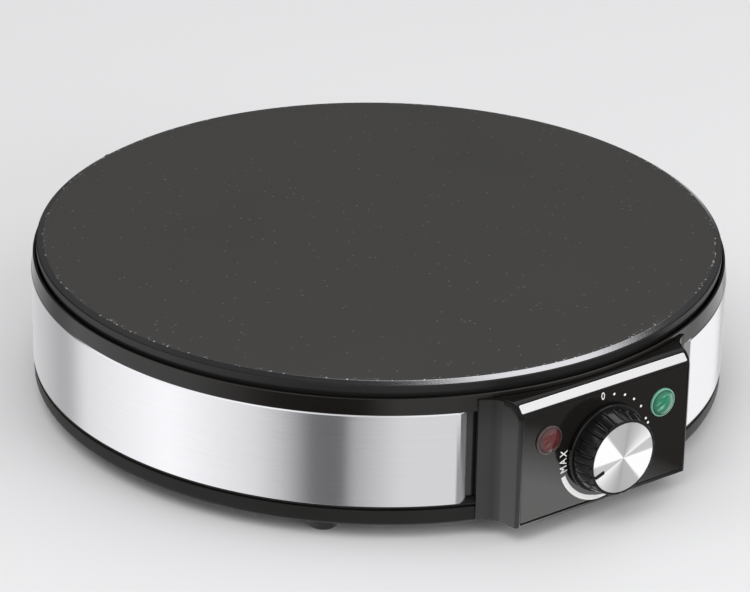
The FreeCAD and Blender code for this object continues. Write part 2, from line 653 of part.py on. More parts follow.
# Collar with the wall behind the bands
def make_collar():
    body = make_body("collar_ring")
    edge = of.collar_edge
    profile = add_sketch(body, "collar_profile", "XZ_Plane")
    add_outline(profile, [
        (skirt_inner, band_bottom),
        (skirt_outer, band_bottom),
        (skirt_outer, collar_bottom),
        (of.collar_radius, collar_bottom),
        (of.collar_top_radius, collar_top - edge),
        (of.collar_top_radius - edge, collar_top, edge, False),
        (collar_mouth + edge, collar_top),
        (collar_mouth, collar_top - edge, edge, False),
        (collar_mouth, collar_bottom + of.skirt_wall),
        (skirt_inner, collar_bottom)])
    revolve(body, "collar_turn", profile)
    openings = add_sketch(body, "collar_openings", offset=collar_bottom)
    near = of.element_radius
    far = of.panel_reach / cosine(of.skirt_gap_angle)
    for side in (-1, 1):
        near_x = near * sine(of.skirt_gap_angle)
        near_y = side * near * cosine(of.skirt_gap_angle)
        far_x = far * sine(of.skirt_gap_angle)
        far_y = side * far * cosine(of.skirt_gap_angle)
        add_outline(openings, [(-near_x, near_y), (near_x, near_y), (far_x, far_y), (-far_x, far_y)])
    pocket(body, "collar_opening_depth", openings, of.band_height)
    bosses = add_sketch(body, "collar_bosses", offset=band_bottom)
    for x, y in foot_seats:
        add_circle(bosses, x, y, of.boss_radius)
    pad(body, "collar_boss_height", bosses, of.boss_height)
    webs = add_sketch(body, "collar_webs", offset=band_bottom)
    web_end = (skirt_inner + skirt_outer) / 2
    half = of.web_thickness / 2
    for side_x, side_y in ((1, 1), (-1, 1), (-1, -1), (1, -1)):
        out_x = side_x * cosine(of.foot_angle)
        out_y = side_y * sine(of.foot_angle)
        corners = []
        for reach, offset in ((of.foot_reach, half), (of.foot_reach, -half),
                              (web_end, -half), (web_end, half)):
            corners.append((reach * out_x - offset * out_y, reach * out_y + offset * out_x))
        add_outline(webs, corners)
    pad(body, "collar_web_height", webs, of.boss_height)
    holes = add_sketch(body, "collar_holes", offset=band_bottom)
    for x, y in foot_seats:
        add_circle(holes, x, y, of.foot_screw_radius + of.screw_clearance)
    pocket(body, "collar_hole_depth", holes, of.foot_screw_grip + of.hole_spare, forward=True)
    for name, turn in ear_turns():
        hole = add_radial_sketch(body, "collar_" + name, turn, ear_outer)
        add_circle(hole, 0, of.ear_screw_height, of.small_screw_radius + of.screw_clearance)
        depth = of.ear_clearance + of.ear_screw_grip + of.screw_clearance
        pocket(body, "collar_" + name + "_depth", hole, depth, forward=True)


# The four places of the ear screws, as turns about the upright axis from the front
def ear_turns():
    turns = []
    for end, base_turn in (("front", 0), ("rear", 180)):
        turns.append((end + "_hole_a", base_turn + of.ear_screw_angle))
        turns.append((end + "_hole_b", base_turn - of.ear_screw_angle))
    return turns


# A sketch on an upright plane that faces outward at a turn from the front
def add_radial_sketch(body, name, turn, reach):
    sketch = add_sketch(body, name, "XZ_Plane")
    turn = as_size(turn)
    sketch.AttachmentOffset = Placement(Vector(0, 0, 0), Rotation(Vector(0, 1, 0), turn.value))
    bind(sketch, "AttachmentOffset.Rotation.Angle", turn)
    bind(sketch, "AttachmentOffset.Base.x", reach * sine(turn))
    bind(sketch, "AttachmentOffset.Base.z", reach * cosine(turn))
    return sketch


# Housings: a box with flared sides and two ears that lap behind the wall of the collar
def make_housing(label, face_wall_start):
    body = make_body(label)
    flank = of.flank_half_width
    flank_y = -root(ear_outer * ear_outer - flank * flank)
    plan = add_sketch(body, label + "_plan", offset=of.housing_bottom)
    add_outline(plan, [
        (-ear_outer * sine(of.ear_angle), -ear_outer * cosine(of.ear_angle)),
        (-flank, flank_y, ear_outer, False),
        (-of.panel_half_width, -of.panel_reach),
        (of.panel_half_width, -of.panel_reach),
        (flank, flank_y),
        (ear_outer * sine(of.ear_angle), -ear_outer * cosine(of.ear_angle), ear_outer, False),
        (ear_inner * sine(of.ear_angle), -ear_inner * cosine(of.ear_angle)),
        (-ear_inner * sine(of.ear_angle), -ear_inner * cosine(of.ear_angle), ear_inner, True)])
    pad(body, label + "_block", plan, of.housing_top - of.housing_bottom)
    treat_edges(body, "Fillet", label + "_coves",
                lambda edge: is_upright_at(edge, flank, flank_y) or is_upright_at(edge, -flank, flank_y),
                of.cove_radius)
    half = of.panel_half_width
    face = -of.panel_reach
    treat_edges(body, "Fillet", label + "_shoulder",
                lambda edge: is_level_at(edge, of.housing_top) and is_in_front_plane(edge, face),
                of.shoulder_radius)
    treat_edges(body, "Fillet", label + "_corners",
                lambda edge: is_upright_at(edge, half, face) or is_upright_at(edge, -half, face),
                of.corner_radius)
    slope = (flank - half) / (of.panel_reach + flank_y)
    inner_half = half + (of.panel_reach - face_wall_start) * slope - of.housing_wall
    back_reach = ear_inner * cosine(of.ear_angle)
    back_half = half + (of.panel_reach - back_reach) * slope - of.housing_wall
    room = add_sketch(body, label + "_room", offset=of.housing_top - of.housing_ceiling)
    add_outline(room, [(-inner_half, -face_wall_start), (inner_half, -face_wall_start),
                       (back_half, -back_reach), (-back_half, -back_reach)])
    room_height = of.housing_top - of.housing_ceiling - of.housing_bottom - of.housing_wall
    pocket(body, label + "_room_height", room, room_height)
    foot_cut = add_sketch(body, label + "_base_seat", offset=band_bottom + of.body_clearance)
    add_circle(foot_cut, 0, 0, of.collar_radius + of.body_clearance)
    pocket(body, label + "_base_seat_depth", foot_cut, band_bottom)
    head_cut = add_sketch(body, label + "_collar_seat", offset=collar_bottom - of.body_clearance)
    add_circle(head_cut, 0, 0, of.collar_radius + of.body_clearance)
    pocket(body, label + "_collar_seat_depth", head_cut, of.collar_height, forward=True)
    for name, turn in ear_turns()[:2]:
        hole = add_radial_sketch(body, label + "_" + name, turn, ear_inner - of.screw_clearance)
        add_circle(hole, 0, of.ear_screw_height, of.small_screw_radius + of.screw_clearance)
        depth = of.skirt_wall + of.screw_clearance
        pocket(body, label + "_" + name + "_depth", hole, depth, forward=True)
    return body


# A sketch in the plane of the seat of the trim strip
def add_trim_sketch(body, name):
    sketch = add_sketch(body, name)
    sketch.AttachmentOffset = Placement(Vector(0, 0, 0), Rotation(Vector(1, 0, 0), of.trim_tilt.value))
    bind(sketch, "AttachmentOffset.Rotation.Angle", of.trim_tilt)
    centre_y = of.shoulder_radius - of.panel_reach
    centre_z = of.housing_top - of.shoulder_radius
    bind(sketch, "AttachmentOffset.Base.y", centre_y - of.trim_seat * sine(of.trim_tilt))
    bind(sketch, "AttachmentOffset.Base.z", centre_z + of.trim_seat * cosine(of.trim_tilt))
    return sketch


def add_trim_shape(sketch, clearance):
    half_length = of.trim_half_length + clearance
    half_width = of.trim_width / 2 + clearance
    add_rounded_box(sketch, -half_length, half_length, -half_width, half_width, of.trim_corner)


def make_control_housing():
    body = make_housing("control_housing", inner_face)
    recess = add_sketch(body, "control_recess", "XZ_Plane", of.panel_reach)
    half = of.panel_half_width - of.fascia_margin
    low = of.housing_bottom + of.fascia_margin
    add_rounded_box(recess, -half, half, low, of.fascia_top, of.fascia_corner)
    pocket(body, "control_recess_depth", recess, of.fascia_thickness)
    holes = add_sketch(body, "control_holes", "XZ_Plane", of.panel_reach)
    depth = of.panel_reach - inner_face
    add_circle(holes, 0, of.knob_height, of.bush_radius + of.bush_clearance)
    for x, z in lens_seats:
        add_circle(holes, x, z, of.lens_barrel_radius + of.lens_clearance)
    for x, z in peg_seats:
        add_circle(holes, x, z, of.peg_radius + of.screw_clearance)
    for x, z in panel_screw_seats:
        add_circle(holes, x, z, of.panel_screw_radius + of.screw_clearance)
    pocket(body, "control_hole_depth", holes, depth)
    wells = add_sketch(body, "control_wells", "XZ_Plane", of.panel_reach - of.fascia_thickness)
    for x, z in panel_screw_seats:
        add_circle(wells, x, z, of.panel_screw_head + of.screw_clearance)
    pocket(body, "control_well_depth", wells, of.panel_screw_head_height + of.screw_clearance)
    seat = add_trim_sketch(body, "control_trim_seat")
    add_trim_shape(seat, of.trim_clearance)
    pocket(body, "control_trim_seat_depth", seat, of.shoulder_radius, forward=True)


def make_rear_housing():
    body = make_housing("rear_housing", rear_inner_face)
    hole = add_sketch(body, "rear_gland_hole", "XZ_Plane", of.panel_reach)
    add_circle(hole, 0, of.gland_height, of.gland_neck_radius + of.gland_clearance)
    pocket(body, "rear_gland_hole_depth", hole, of.housing_wall)
    body.Placement = Placement(Vector(0, 0, 0), Rotation(Vector(0, 0, 1), 180))


def make_fascia():
    body = make_body("front_fascia")
    margin = of.fascia_margin + of.fascia_clearance
    half = of.panel_half_width - margin
    low = of.housing_bottom + margin
    high = of.fascia_top - of.fascia_clearance
    back = of.panel_reach - of.fascia_thickness
    plate = add_sketch(body, "fascia_plate", "XZ_Plane", back)
    add_rounded_box(plate, -half, half, low, high, of.fascia_corner)
    pad(body, "fascia_plate_thickness", plate, of.fascia_thickness)
    treat_edges(body, "Chamfer", "fascia_front_edges",
                lambda edge: is_in_front_plane(edge, -of.panel_reach),
                of.fascia_bevel)
    pegs = add_sketch(body, "fascia_pegs", "XZ_Plane", back)
    for x, z in peg_seats:
        add_circle(pegs, x, z, of.peg_radius)
    pad(body, "fascia_peg_length", pegs, of.peg_length, backward=True)
    holes = add_sketch(body, "fascia_holes", "XZ_Plane", of.panel_reach)
    add_circle(holes, 0, of.knob_height, of.bush_radius + of.bush_clearance)
    for x, z in lens_seats:
        add_circle(holes, x, z, of.lens_barrel_radius + of.lens_clearance)
    pocket(body, "fascia_hole_depth", holes, of.fascia_thickness)


def make_trim_strip():
    body = make_body("trim_strip")
    sketch = add_trim_sketch(body, "trim_plan")
    add_trim_shape(sketch, as_size(0))
    pad(body, "trim_sheet", sketch, of.trim_thickness)


# Cooking plate with the rib and groove for the heating element
def make_plate():
    body = make_body("cooking_plate")
    rim_low = plate_top - of.rim_depth
    lip_low = rim_low - of.rim_skirt
    lip_radius = of.plate_radius - of.rim_step
    groove = of.sheath_radius + of.element_clearance
    centre = of.element_radius
    rib_half = of.element_rib_width / 2
    profile = add_sketch(body, "plate_profile", "XZ_Plane")
    add_outline(profile, [
        (0, plate_top),
        (0, plate_under),
        (centre - rib_half - of.rib_draft, plate_under),
        (centre - rib_half, rib_under),
        (centre - groove, rib_under),
        (centre - groove, element_height),
        (centre, element_height + groove, groove, True),
        (centre + groove, element_height, groove, True),
        (centre + groove, rib_under),
        (centre + rib_half, rib_under),
        (centre + rib_half + of.rib_draft, plate_under),
        (lip_radius - of.rim_width - of.rib_draft, plate_under),
        (lip_radius - of.rim_width, lip_low),
        (lip_radius, lip_low),
        (lip_radius, rim_low),
        (of.plate_radius, rim_low),
        (of.plate_radius, plate_top - of.slope_depth),
        (of.cooking_radius, plate_top)])
    revolve(body, "plate_turn", profile)
    bosses = add_sketch(body, "plate_bosses", offset=rib_under)
    for x, y in post_seats:
        add_circle(bosses, x, y, of.post_radius)
    pad(body, "plate_boss_height", bosses, of.element_rib_depth)
    window = add_sketch(body, "plate_leg_window", offset=plate_under)
    window_half = centre * sine(of.element_gap_angle)
    add_box(window, -window_half, window_half, centre - rib_half - of.rib_draft * 4,
            centre + rib_half + of.rib_draft * 4)
    pocket(body, "plate_leg_window_depth", window, of.element_rib_depth)
    screw_holes = add_sketch(body, "plate_screw_holes", offset=rib_under)
    for x, y in post_seats:
        add_circle(screw_holes, x, y, of.plate_screw_radius + of.screw_clearance)
    pocket(body, "plate_screw_hole_depth", screw_holes, of.plate_screw_grip + of.hole_spare, forward=True)
    clip_holes = add_sketch(body, "plate_clip_holes", offset=rib_under)
    for x, y in clip_screw_seats():
        add_circle(clip_holes, x, y, of.small_screw_radius + of.screw_clearance)
    pocket(body, "plate_clip_hole_depth", clip_holes, of.small_screw_length, forward=True)
    saddle_holes = add_sketch(body, "plate_saddle_holes", offset=plate_under)
    for x, y in saddle_screw_seats():
        add_circle(saddle_holes, x, y, of.small_screw_radius + of.screw_clearance)
    pocket(body, "plate_saddle_hole_depth", saddle_holes, of.plate_thickness / 2, forward=True)


def clip_screw_seats():
    seats = []
    for side_x, side_y in ((1, 1), (-1, 1), (-1, -1), (1, -1)):
        for offset in (-of.clip_screw_offset, of.clip_screw_offset):
            reach = of.element_radius + offset
            seats.append((side_x * reach * cosine(of.foot_angle), side_y * reach * sine(of.foot_angle)))
    return seats


def make_element_clips():
    body = make_body("element_clips")
    clips = add_sketch(body, "clip_plan", offset=rib_under)
    half = of.clip_width / 2
    rib_half = of.element_rib_width / 2 - of.rib_draft / 2
    for side_x, side_y in ((1, 1), (-1, 1), (-1, -1), (1, -1)):
        out_x = side_x * cosine(of.foot_angle)
        out_y = side_y * sine(of.foot_angle)
        corners = []
        for reach, offset in ((of.element_radius - rib_half, half), (of.element_radius - rib_half, -half),
                              (of.element_radius + rib_half, -half), (of.element_radius + rib_half, half)):
            corners.append((reach * out_x - offset * out_y, reach * out_y + offset * out_x))
        add_outline(clips, corners)
        for offset in (-of.clip_screw_offset, of.clip_screw_offset):
            reach = of.element_radius + offset
            add_circle(clips, reach * out_x, reach * out_y, of.small_screw_radius + of.screw_clearance)
    pad(body, "clip_sheet", clips, of.clip_thickness, backward=True)
    head_place = rib_under - of.clip_thickness - of.small_head_height
    make_screws("clip_screws", clip_screw_seats(), "XY_Plane", head_place, of.small_head_radius,
                of.small_head_height, of.small_screw_radius, of.small_screw_length, False)


# A tube along straight runs joined by arcs
def make_route_wire(points, bend):
    edges = []
    start = points[0]
    for before, corner, after in zip(points, points[1:], points[2:]):
        toward = (before - corner).normalize()
        away = (after - corner).normalize()
        half_turn = (math.pi - toward.getAngle(away)) / 2
        setback = bend * math.tan(half_turn)
        first = corner + toward * setback
        last = corner + away * setback
        middle_out = bend / math.cos(half_turn) - bend
        middle = corner + (toward + away).normalize() * middle_out
        edges.append(Part.LineSegment(start, first).toShape())
        edges.append(Part.Arc(first, middle, last).toShape())
        start = last
    edges.append(Part.LineSegment(start, points[-1]).toShape())
    return Part.Wire(edges)


def make_tube_shape(wire, radius):
    start_edge = wire.OrderedEdges[0]
    direction = start_edge.tangentAt(start_edge.FirstParameter)
    start = start_edge.valueAt(start_edge.FirstParameter)
    ring = Part.Wire([Part.Circle(start, direction, radius).toShape()])
    return wire.makePipeShell([ring], True, False)


def make_shape_part(label, shape):
    piece = doc.addObject("Part::Feature", label)
    piece.Label = label
    piece.Shape = shape
    piece.Placement = Placement()
    sub_parts.append(piece)
    return piece


def element_leg_place(side):
    angle = math.radians(90 - side * of.element_gap_angle.value)
    reach = of.element_radius.value
    end = Vector(reach * math.cos(angle), reach * math.sin(angle), element_height.value)
    towards_gap = Vector(-side * math.sin(angle), side * math.cos(angle), 0)
    return end, towards_gap, end + towards_gap * of.element_bend.value


def leg_seats():
    reach = of.element_radius
    x = reach * sine(of.element_gap_angle) - of.element_bend * cosine(of.element_gap_angle)
    y = reach * cosine(of.element_gap_angle) + of.element_bend * sine(of.element_gap_angle)
    return [(x, y), (-x, y)]


def make_element():
    bend = of.element_bend.value
    drop = Vector(0, 0, -1)
    pieces = []
    ends = {}
    for side in (1, -1):
        end, towards_gap, leg = element_leg_place(side)
        ends[side] = end
        low = leg + drop * bend
        middle = end + towards_gap * bend * math.sin(math.pi / 4) + drop * bend * (1 - math.cos(math.pi / 4))
        foot = Vector(low.x, low.y, of.leg_end.value)
        pieces.append((Part.Arc(end, middle, low).toShape(), Part.LineSegment(low, foot).toShape()))
    opposite = Vector(0, -of.element_radius.value, element_height.value)
    quarter = Vector(of.element_radius.value, 0, element_height.value)
    other_quarter = Vector(-of.element_radius.value, 0, element_height.value)
    right = Part.Arc(ends[1], quarter, opposite).toShape()
    left = Part.Arc(opposite, other_quarter, ends[-1]).toShape()
    wire = Part.Wire([pieces[0][1], pieces[0][0], right, left, pieces[1][0], pieces[1][1]])
    make_shape_part("heating_element", make_tube_shape(wire, of.sheath_radius.value))


def make_shield():
    body = make_body("heat_shield")
    wall = of.shield_thickness
    profile = add_sketch(body, "shield_profile", "XZ_Plane")
    add_outline(profile, [
        (0, shield_under), (of.shield_radius, shield_under),
        (of.shield_radius, shield_under + of.shield_rim),
        (of.shield_radius - wall, shield_under + of.shield_rim),
        (of.shield_radius - wall, shield_top), (0, shield_top)])
    revolve(body, "shield_turn", profile)
    holes = add_sketch(body, "shield_holes", offset=shield_top)
    for x, y in post_seats:
        add_circle(holes, x, y, of.plate_screw_radius + of.screw_clearance)
    for x, y in leg_seats():
        add_circle(holes, x, y, of.sheath_radius + of.leg_clearance)
    add_circle(holes, capillary_x, capillary_y, of.capillary_radius + of.leg_clearance)
    pocket(body, "shield_hole_depth", holes, of.shield_thickness)


# Saddle clip over a round piece that lies along X against the underside of the plate
def make_saddle(label, y, radius):
    body = make_body(label)
    bore = radius + of.element_clearance
    outer = bore + of.saddle_sheet
    low = plate_under - of.saddle_sheet
    centre = plate_under - radius
    rise = of.saddle_sheet - radius
    spread = root(outer * outer - rise * rise)
    sketch = add_sketch(body, label + "_profile", "YZ_Plane", of.saddle_width / -2)
    add_outline(sketch, [
        (y - outer - of.saddle_foot, plate_under),
        (y - outer - of.saddle_foot, low),
        (y - outer, low),
        (y - outer, centre),
        (y, centre - outer, outer, False),
        (y + outer, centre, outer, False),
        (y + outer, low),
        (y + outer + of.saddle_foot, low),
        (y + outer + of.saddle_foot, plate_under),
        (y + bore, plate_under),
        (y + bore, centre),
        (y, centre - bore, bore, True),
        (y - bore, centre, bore, True),
        (y - bore, plate_under)])
    pad(body, label + "_width", sketch, of.saddle_width)
    holes = add_sketch(body, label + "_holes", offset=plate_under)
    for side in (-1, 1):
        add_circle(holes, 0, saddle_screw_y(y, radius, side), of.small_screw_radius + of.screw_clearance)
    pocket(body, label + "_hole_depth", holes, of.saddle_sheet)


def saddle_screw_y(y, radius, side):
    return y + side * (radius + of.element_clearance + of.saddle_sheet + of.saddle_foot / 2)


def saddle_screw_seats():
    seats = []
    for y, radius in ((of.bulb_y, of.bulb_radius), (of.fuse_y, of.fuse_radius)):
        for side in (-1, 1):
            seats.append((as_size(0), saddle_screw_y(y, radius, side)))
    return seats


def make_lying_rod(label, y, radius, length):
    body = make_body(label)
    sketch = add_sketch(body, label + "_end", "YZ_Plane", length / -2)
    add_circle(sketch, y, plate_under - radius, radius)
    pad(body, label + "_length", sketch, length)


# Thermostat and its capillary tube
def make_thermostat():
    body = make_body("thermostat_body")
    half_width = of.thermostat_width / 2
    half_height = of.thermostat_height / 2
    low = of.knob_height - half_height
    high = of.knob_height + half_height
    block = add_sketch(body, "thermostat_block", "XZ_Plane", inner_face)
    add_rounded_box(block, -half_width, half_width, low, high, of.thermostat_corner)
    pad(body, "thermostat_block_depth", block, of.thermostat_depth, backward=True)
    plate = add_sketch(body, "thermostat_mount", "XZ_Plane", inner_face)
    reach = half_width + of.thermostat_plate
    add_rounded_box(plate, -reach, reach, low - of.thermostat_plate, high + of.thermostat_plate,
                    of.thermostat_corner)
    pad(body, "thermostat_mount_sheet", plate, of.thermostat_plate, backward=True)
    bush = add_sketch(body, "thermostat_bush", "XZ_Plane", inner_face)
    add_circle(bush, 0, of.knob_height, of.bush_radius)
    pad(body, "thermostat_bush_length", bush, of.bush_length)
    bore = add_sketch(body, "thermostat_bore", "XZ_Plane", inner_face + of.bush_length)
    add_circle(bore, 0, of.knob_height, of.shaft_radius + of.shaft_running_fit)
    bore_end = of.panel_reach - of.shaft_inside - of.shaft_end_gap
    pocket(body, "thermostat_bore_depth", bore, inner_face + of.bush_length - bore_end)
    holes = add_sketch(body, "thermostat_holes", "XZ_Plane", inner_face)
    for x, z in panel_screw_seats:
        add_circle(holes, x, z, of.panel_screw_radius + of.screw_clearance)
    pocket(body, "thermostat_hole_depth", holes, of.panel_screw_length)
    blades = add_sketch(body, "thermostat_blades", "XZ_Plane", inner_face - of.thermostat_depth)
    for side in (-1, 1):
        centre = side * half_width / 2
        add_box(blades, centre - of.blade_width / 2, centre + of.blade_width / 2,
                of.knob_height - of.saddle_sheet, of.knob_height)
    pad(body, "thermostat_blade_length", blades, of.saddle_foot, backward=True)


capillary_x = of.bulb_length / 2 + of.element_bend
capillary_y = of.bulb_y


def make_capillary():
    start_y = -(inner_face - of.thermostat_depth).value
    level = of.knob_height.value + of.thermostat_height.value / 2 - of.capillary_radius.value * 4
    bulb_level = (plate_under - of.bulb_radius).value
    bulb_end = of.bulb_length.value / 2
    corner_x = capillary_x.value
    corner_y = capillary_y.value
    points = [
        Vector(0, start_y, level),
        Vector(0, start_y * 0.8, level),
        Vector(corner_x, start_y * 0.55, level),
        Vector(corner_x, corner_y, level),
        Vector(corner_x, corner_y, bulb_level),
        Vector(bulb_end, corner_y, bulb_level)]
    wire = make_route_wire(points, of.element_bend.value * 0.5)
    make_shape_part("capillary_tube", make_tube_shape(wire, of.capillary_radius.value))


# Knob, its cap and the thermostat shaft
def add_d_shape(sketch, radius, flat):
    half = root(radius * radius - flat * flat)
    add_outline(sketch, [(half, flat), (-half, flat), (0, -radius, radius, False),
                         (half, flat, radius, False)][1:])


def make_knob_body():
    body = make_body("knob_body")
    face = of.knob_reach - of.cap_proud
    flange_top = of.knob_gap + of.knob_flange_height
    profile = add_sketch(body, "knob_profile", "XZ_Plane")
    seat_radius = of.cap_radius + of.cap_clearance
    seat = of.knob_reach - of.cap_thickness
    add_outline(profile, [
        (0, of.knob_gap),
        (of.knob_flange_radius, of.knob_gap),
        (of.knob_flange_radius, flange_top - of.knob_edge),
        (of.knob_flange_radius - of.knob_edge, flange_top),
        (of.knob_grip_radius, flange_top),
        (of.knob_face_radius, face - of.knob_edge),
        (of.knob_face_radius - of.knob_edge, face),
        (seat_radius, face),
        (seat_radius, seat),
        (0, seat)])
    revolve(body, "knob_turn", profile)
    well = add_sketch(body, "knob_well", offset=of.knob_gap)
    add_circle(well, 0, 0, of.knob_face_radius - of.knob_shell)
    add_circle(well, 0, 0, of.knob_hub_radius)
    pocket(body, "knob_well_depth", well, seat - of.knob_roof - of.knob_gap, forward=True)
    socket = add_sketch(body, "knob_socket", offset=of.knob_gap)
    add_d_shape(socket, of.shaft_radius + of.shaft_grip_fit, of.shaft_flat + of.shaft_grip_fit)
    pocket(body, "knob_socket_depth", socket, of.shaft_outside - of.knob_gap + of.cap_clearance, forward=True)
    flute = add_sketch(body, "knob_flute", offset=flange_top)
    add_circle(flute, of.knob_face_radius + of.flute_outset, 0, of.flute_radius)
    cut = pocket(body, "knob_flute_length", flute, of.knob_reach, forward=True)
    polar(body, "knob_flutes", [cut], of.flute_count)
    face_front(body, 0, of.knob_height)


def make_knob_cap():
    body = make_body("knob_cap")
    disc = add_sketch(body, "cap_disc", offset=of.knob_reach - of.cap_thickness)
    add_circle(disc, 0, 0, of.cap_radius)
    pad(body, "cap_sheet", disc, of.cap_thickness)
    treat_edges(body, "Chamfer", "cap_edge",
                lambda edge: is_level_at(edge, of.knob_reach), of.cap_bevel)
    notch = add_sketch(body, "cap_notch", offset=of.knob_reach)
    turn = -of.pointer_angle
    notch.AttachmentOffset = Placement(Vector(0, 0, 0), Rotation(Vector(0, 0, 1), turn.value))
    bind(notch, "AttachmentOffset.Rotation.Angle", turn)
    half = of.notch_width / 2
    tip = of.cap_radius - of.notch_depth
    add_outline(notch, [
        (half, of.cap_radius + half), (-half, of.cap_radius + half),
        (-half, tip + half), (0, tip, half, False), (half, tip + half, half, False)])
    pocket(body, "cap_notch_depth", notch, of.cap_thickness)
    face_front(body, 0, of.knob_height)


def make_shaft():
    body = make_body("thermostat_shaft")
    rod = add_sketch(body, "shaft_rod", offset=-of.shaft_inside)
    add_circle(rod, 0, 0, of.shaft_radius)
    pad(body, "shaft_rod_length", rod, of.shaft_inside)
    tongue = add_sketch(body, "shaft_tongue", offset=as_size(0))
    add_d_shape(tongue, of.shaft_radius, of.shaft_flat)
    pad(body, "shaft_tongue_length", tongue, of.shaft_outside)
    face_front(body, 0, of.knob_height)


# Indicator lenses and lamps
def make_light(lens_label, lamp_label, x):
    lens = make_body(lens_label)
    dome_top = of.lens_flange_height + of.lens_dome_height
    dome_low = of.lens_flange_height
    reach = of.lens_dome_radius
    dome_curve = (reach * reach + of.lens_dome_height * of.lens_dome_height) / (2 * of.lens_dome_height)
    profile = add_sketch(lens, lens_label + "_profile", "XZ_Plane")
    add_outline(profile, [
        (0, -of.lens_flange_height),
        (of.lens_bore_radius, -of.lens_flange_height),
        (of.lens_bore_radius, -of.lens_barrel_length),
        (of.lens_barrel_radius, -of.lens_barrel_length),
        (of.lens_barrel_radius, 0),
        (of.lens_flange_radius, 0),
        (of.lens_flange_radius, dome_low - of.lens_bevel),
        (of.lens_flange_radius - of.lens_bevel, dome_low),
        (reach, dome_low),
        (0, dome_top, dome_curve, False)])
    revolve(lens, lens_label + "_turn", profile)
    face_front(lens, x, of.lens_height)
    lamp = make_body(lamp_label)
    radius = of.lens_bore_radius - of.lamp_clearance
    front = -of.lens_flange_height - of.lamp_clearance
    outline = add_sketch(lamp, lamp_label + "_profile", "XZ_Plane")
    add_outline(outline, [
        (0, -of.lens_barrel_length - of.lamp_tail),
        (radius, -of.lens_barrel_length - of.lamp_tail),
        (radius, front - radius),
        (0, front, radius, False)])
    revolve(lamp, lamp_label + "_turn", outline)
    face_front(lamp, x, of.lens_height)


def make_spring_nuts():
    body = make_body("lens_spring_nuts")
    sketch = add_sketch(body, "nut_rings", "XZ_Plane", inner_face)
    for x, z in lens_seats:
        add_circle(sketch, x, z, of.nut_radius)
        add_circle(sketch, x, z, of.lens_barrel_radius + of.lens_clearance)
    pad(body, "nut_sheet", sketch, of.nut_thickness, backward=True)


# Cord gland in the wall of the rear housing
def make_gland():
    body = make_body("cord_gland")
    wall = of.housing_wall
    profile = add_sketch(body, "gland_profile", "XZ_Plane")
    add_outline(profile, [
        (of.gland_bore, -wall - of.gland_inner_height),
        (of.gland_inner_radius - of.knob_edge, -wall - of.gland_inner_height),
        (of.gland_inner_radius, -wall),
        (of.gland_neck_radius, -wall),
        (of.gland_neck_radius, 0),
        (of.gland_flange_radius, 0),
        (of.gland_flange_radius, of.gland_flange_height - of.knob_edge),
        (of.gland_flange_radius - of.knob_edge, of.gland_flange_height),
        (of.gland_sleeve_radius, of.gland_flange_height),
        (of.gland_tip_radius, of.knob_reach),
        (of.gland_bore, of.knob_reach)])
    revolve(body, "gland_turn", profile)
    body.Placement = Placement(Vector(0, 0, 0), Rotation(Vector(1, 0, 0), -90))
    bind(body, "Placement.Base.y", of.panel_reach)
    bind(body, "Placement.Base.z", of.gland_height)


# Terminal block on the floor of the base
def make_terminal_block():
    body = make_body("terminal_block")
    half = of.block_length / 2
    depth = of.block_depth / 2
    block = add_sketch(body, "block_plan", offset=base_floor)
    add_rounded_box(block, -half, half, of.block_y - depth, of.block_y + depth, of.fascia_corner)
    pad(body, "block_height", block, of.block_height)
    wells = add_sketch(body, "block_wells", offset=base_floor + of.block_height)
    for place in (-1, 0, 1):
        for side in (-1, 1):
            add_circle(wells, place * of.terminal_pitch, of.block_y + side * depth / 2, of.terminal_well)
    pocket(body, "block_well_depth", wells, of.block_height / 2)
    holes = add_sketch(body, "block_holes", offset=base_floor + of.block_height)
    for side in (-1, 1):
        add_circle(holes, side * of.block_screw_x, of.block_y, of.small_screw_radius + of.screw_clearance)
    pocket(body, "block_hole_depth", holes, of.block_height)


# Wires between the terminal block, the thermostat and the heating element
def wire_routes():
    level = base_floor.value + of.block_height.value * 0.3
    block_near = of.block_y.value - of.block_depth.value / 2
    pitch = of.terminal_pitch.value
    blade_y = -(inner_face - of.thermostat_depth - of.saddle_foot).value
    blade_x = of.thermostat_width.value / 4
    blade_z = of.knob_height.value - of.saddle_sheet.value / 2
    leg_x = leg_seats()[0][0].value
    leg_y = leg_seats()[0][1].value
    pin_end = of.leg_end.value - of.pin_length.value
    swing = of.post_y.value * 1.2
    live = [
        Vector(-pitch, block_near, level),
        Vector(-pitch, block_near * 0.8, level),
        Vector(-swing, block_near * 0.5, level),
        Vector(-swing, blade_y * 0.5, level),
        Vector(-blade_x, blade_y * 0.8, blade_z),
        Vector(-blade_x, blade_y, blade_z)]
    heater = [
        Vector(blade_x, blade_y, blade_z),
        Vector(blade_x, blade_y * 0.8, blade_z),
        Vector(swing, blade_y * 0.4, level * 1.3),
        Vector(swing, leg_y * 0.55, level * 1.3),
        Vector(leg_x, leg_y, level * 1.4),
        Vector(leg_x, leg_y, pin_end)]
    neutral = [
        Vector(pitch * 0.2, block_near, level),
        Vector(pitch * 0.2, block_near * 0.93, level),
        Vector(-leg_x, leg_y * 0.93, level * 1.5),
        Vector(-leg_x, leg_y, level * 1.7),
        Vector(-leg_x, leg_y, pin_end)]
    return [live, heater, neutral]


def make_wires():
    labels = ["live_wire", "heater_wire", "neutral_wire"]
    for label, points in zip(labels, wire_routes()):
        wire = make_route_wire(points, of.wire_radius.value * 2.2)
        make_shape_part(label, make_tube_shape(wire, of.wire_radius.value))


def make_plate_screws():
    head_place = shield_under - of.post_top_wall - of.plate_screw_head_height
    length = rib_under + of.plate_screw_grip - shield_under + of.post_top_wall
    make_screws("plate_screws", post_seats, "XY_Plane", head_place, of.plate_screw_head,
                of.plate_screw_head_height, of.plate_screw_radius, length, False)


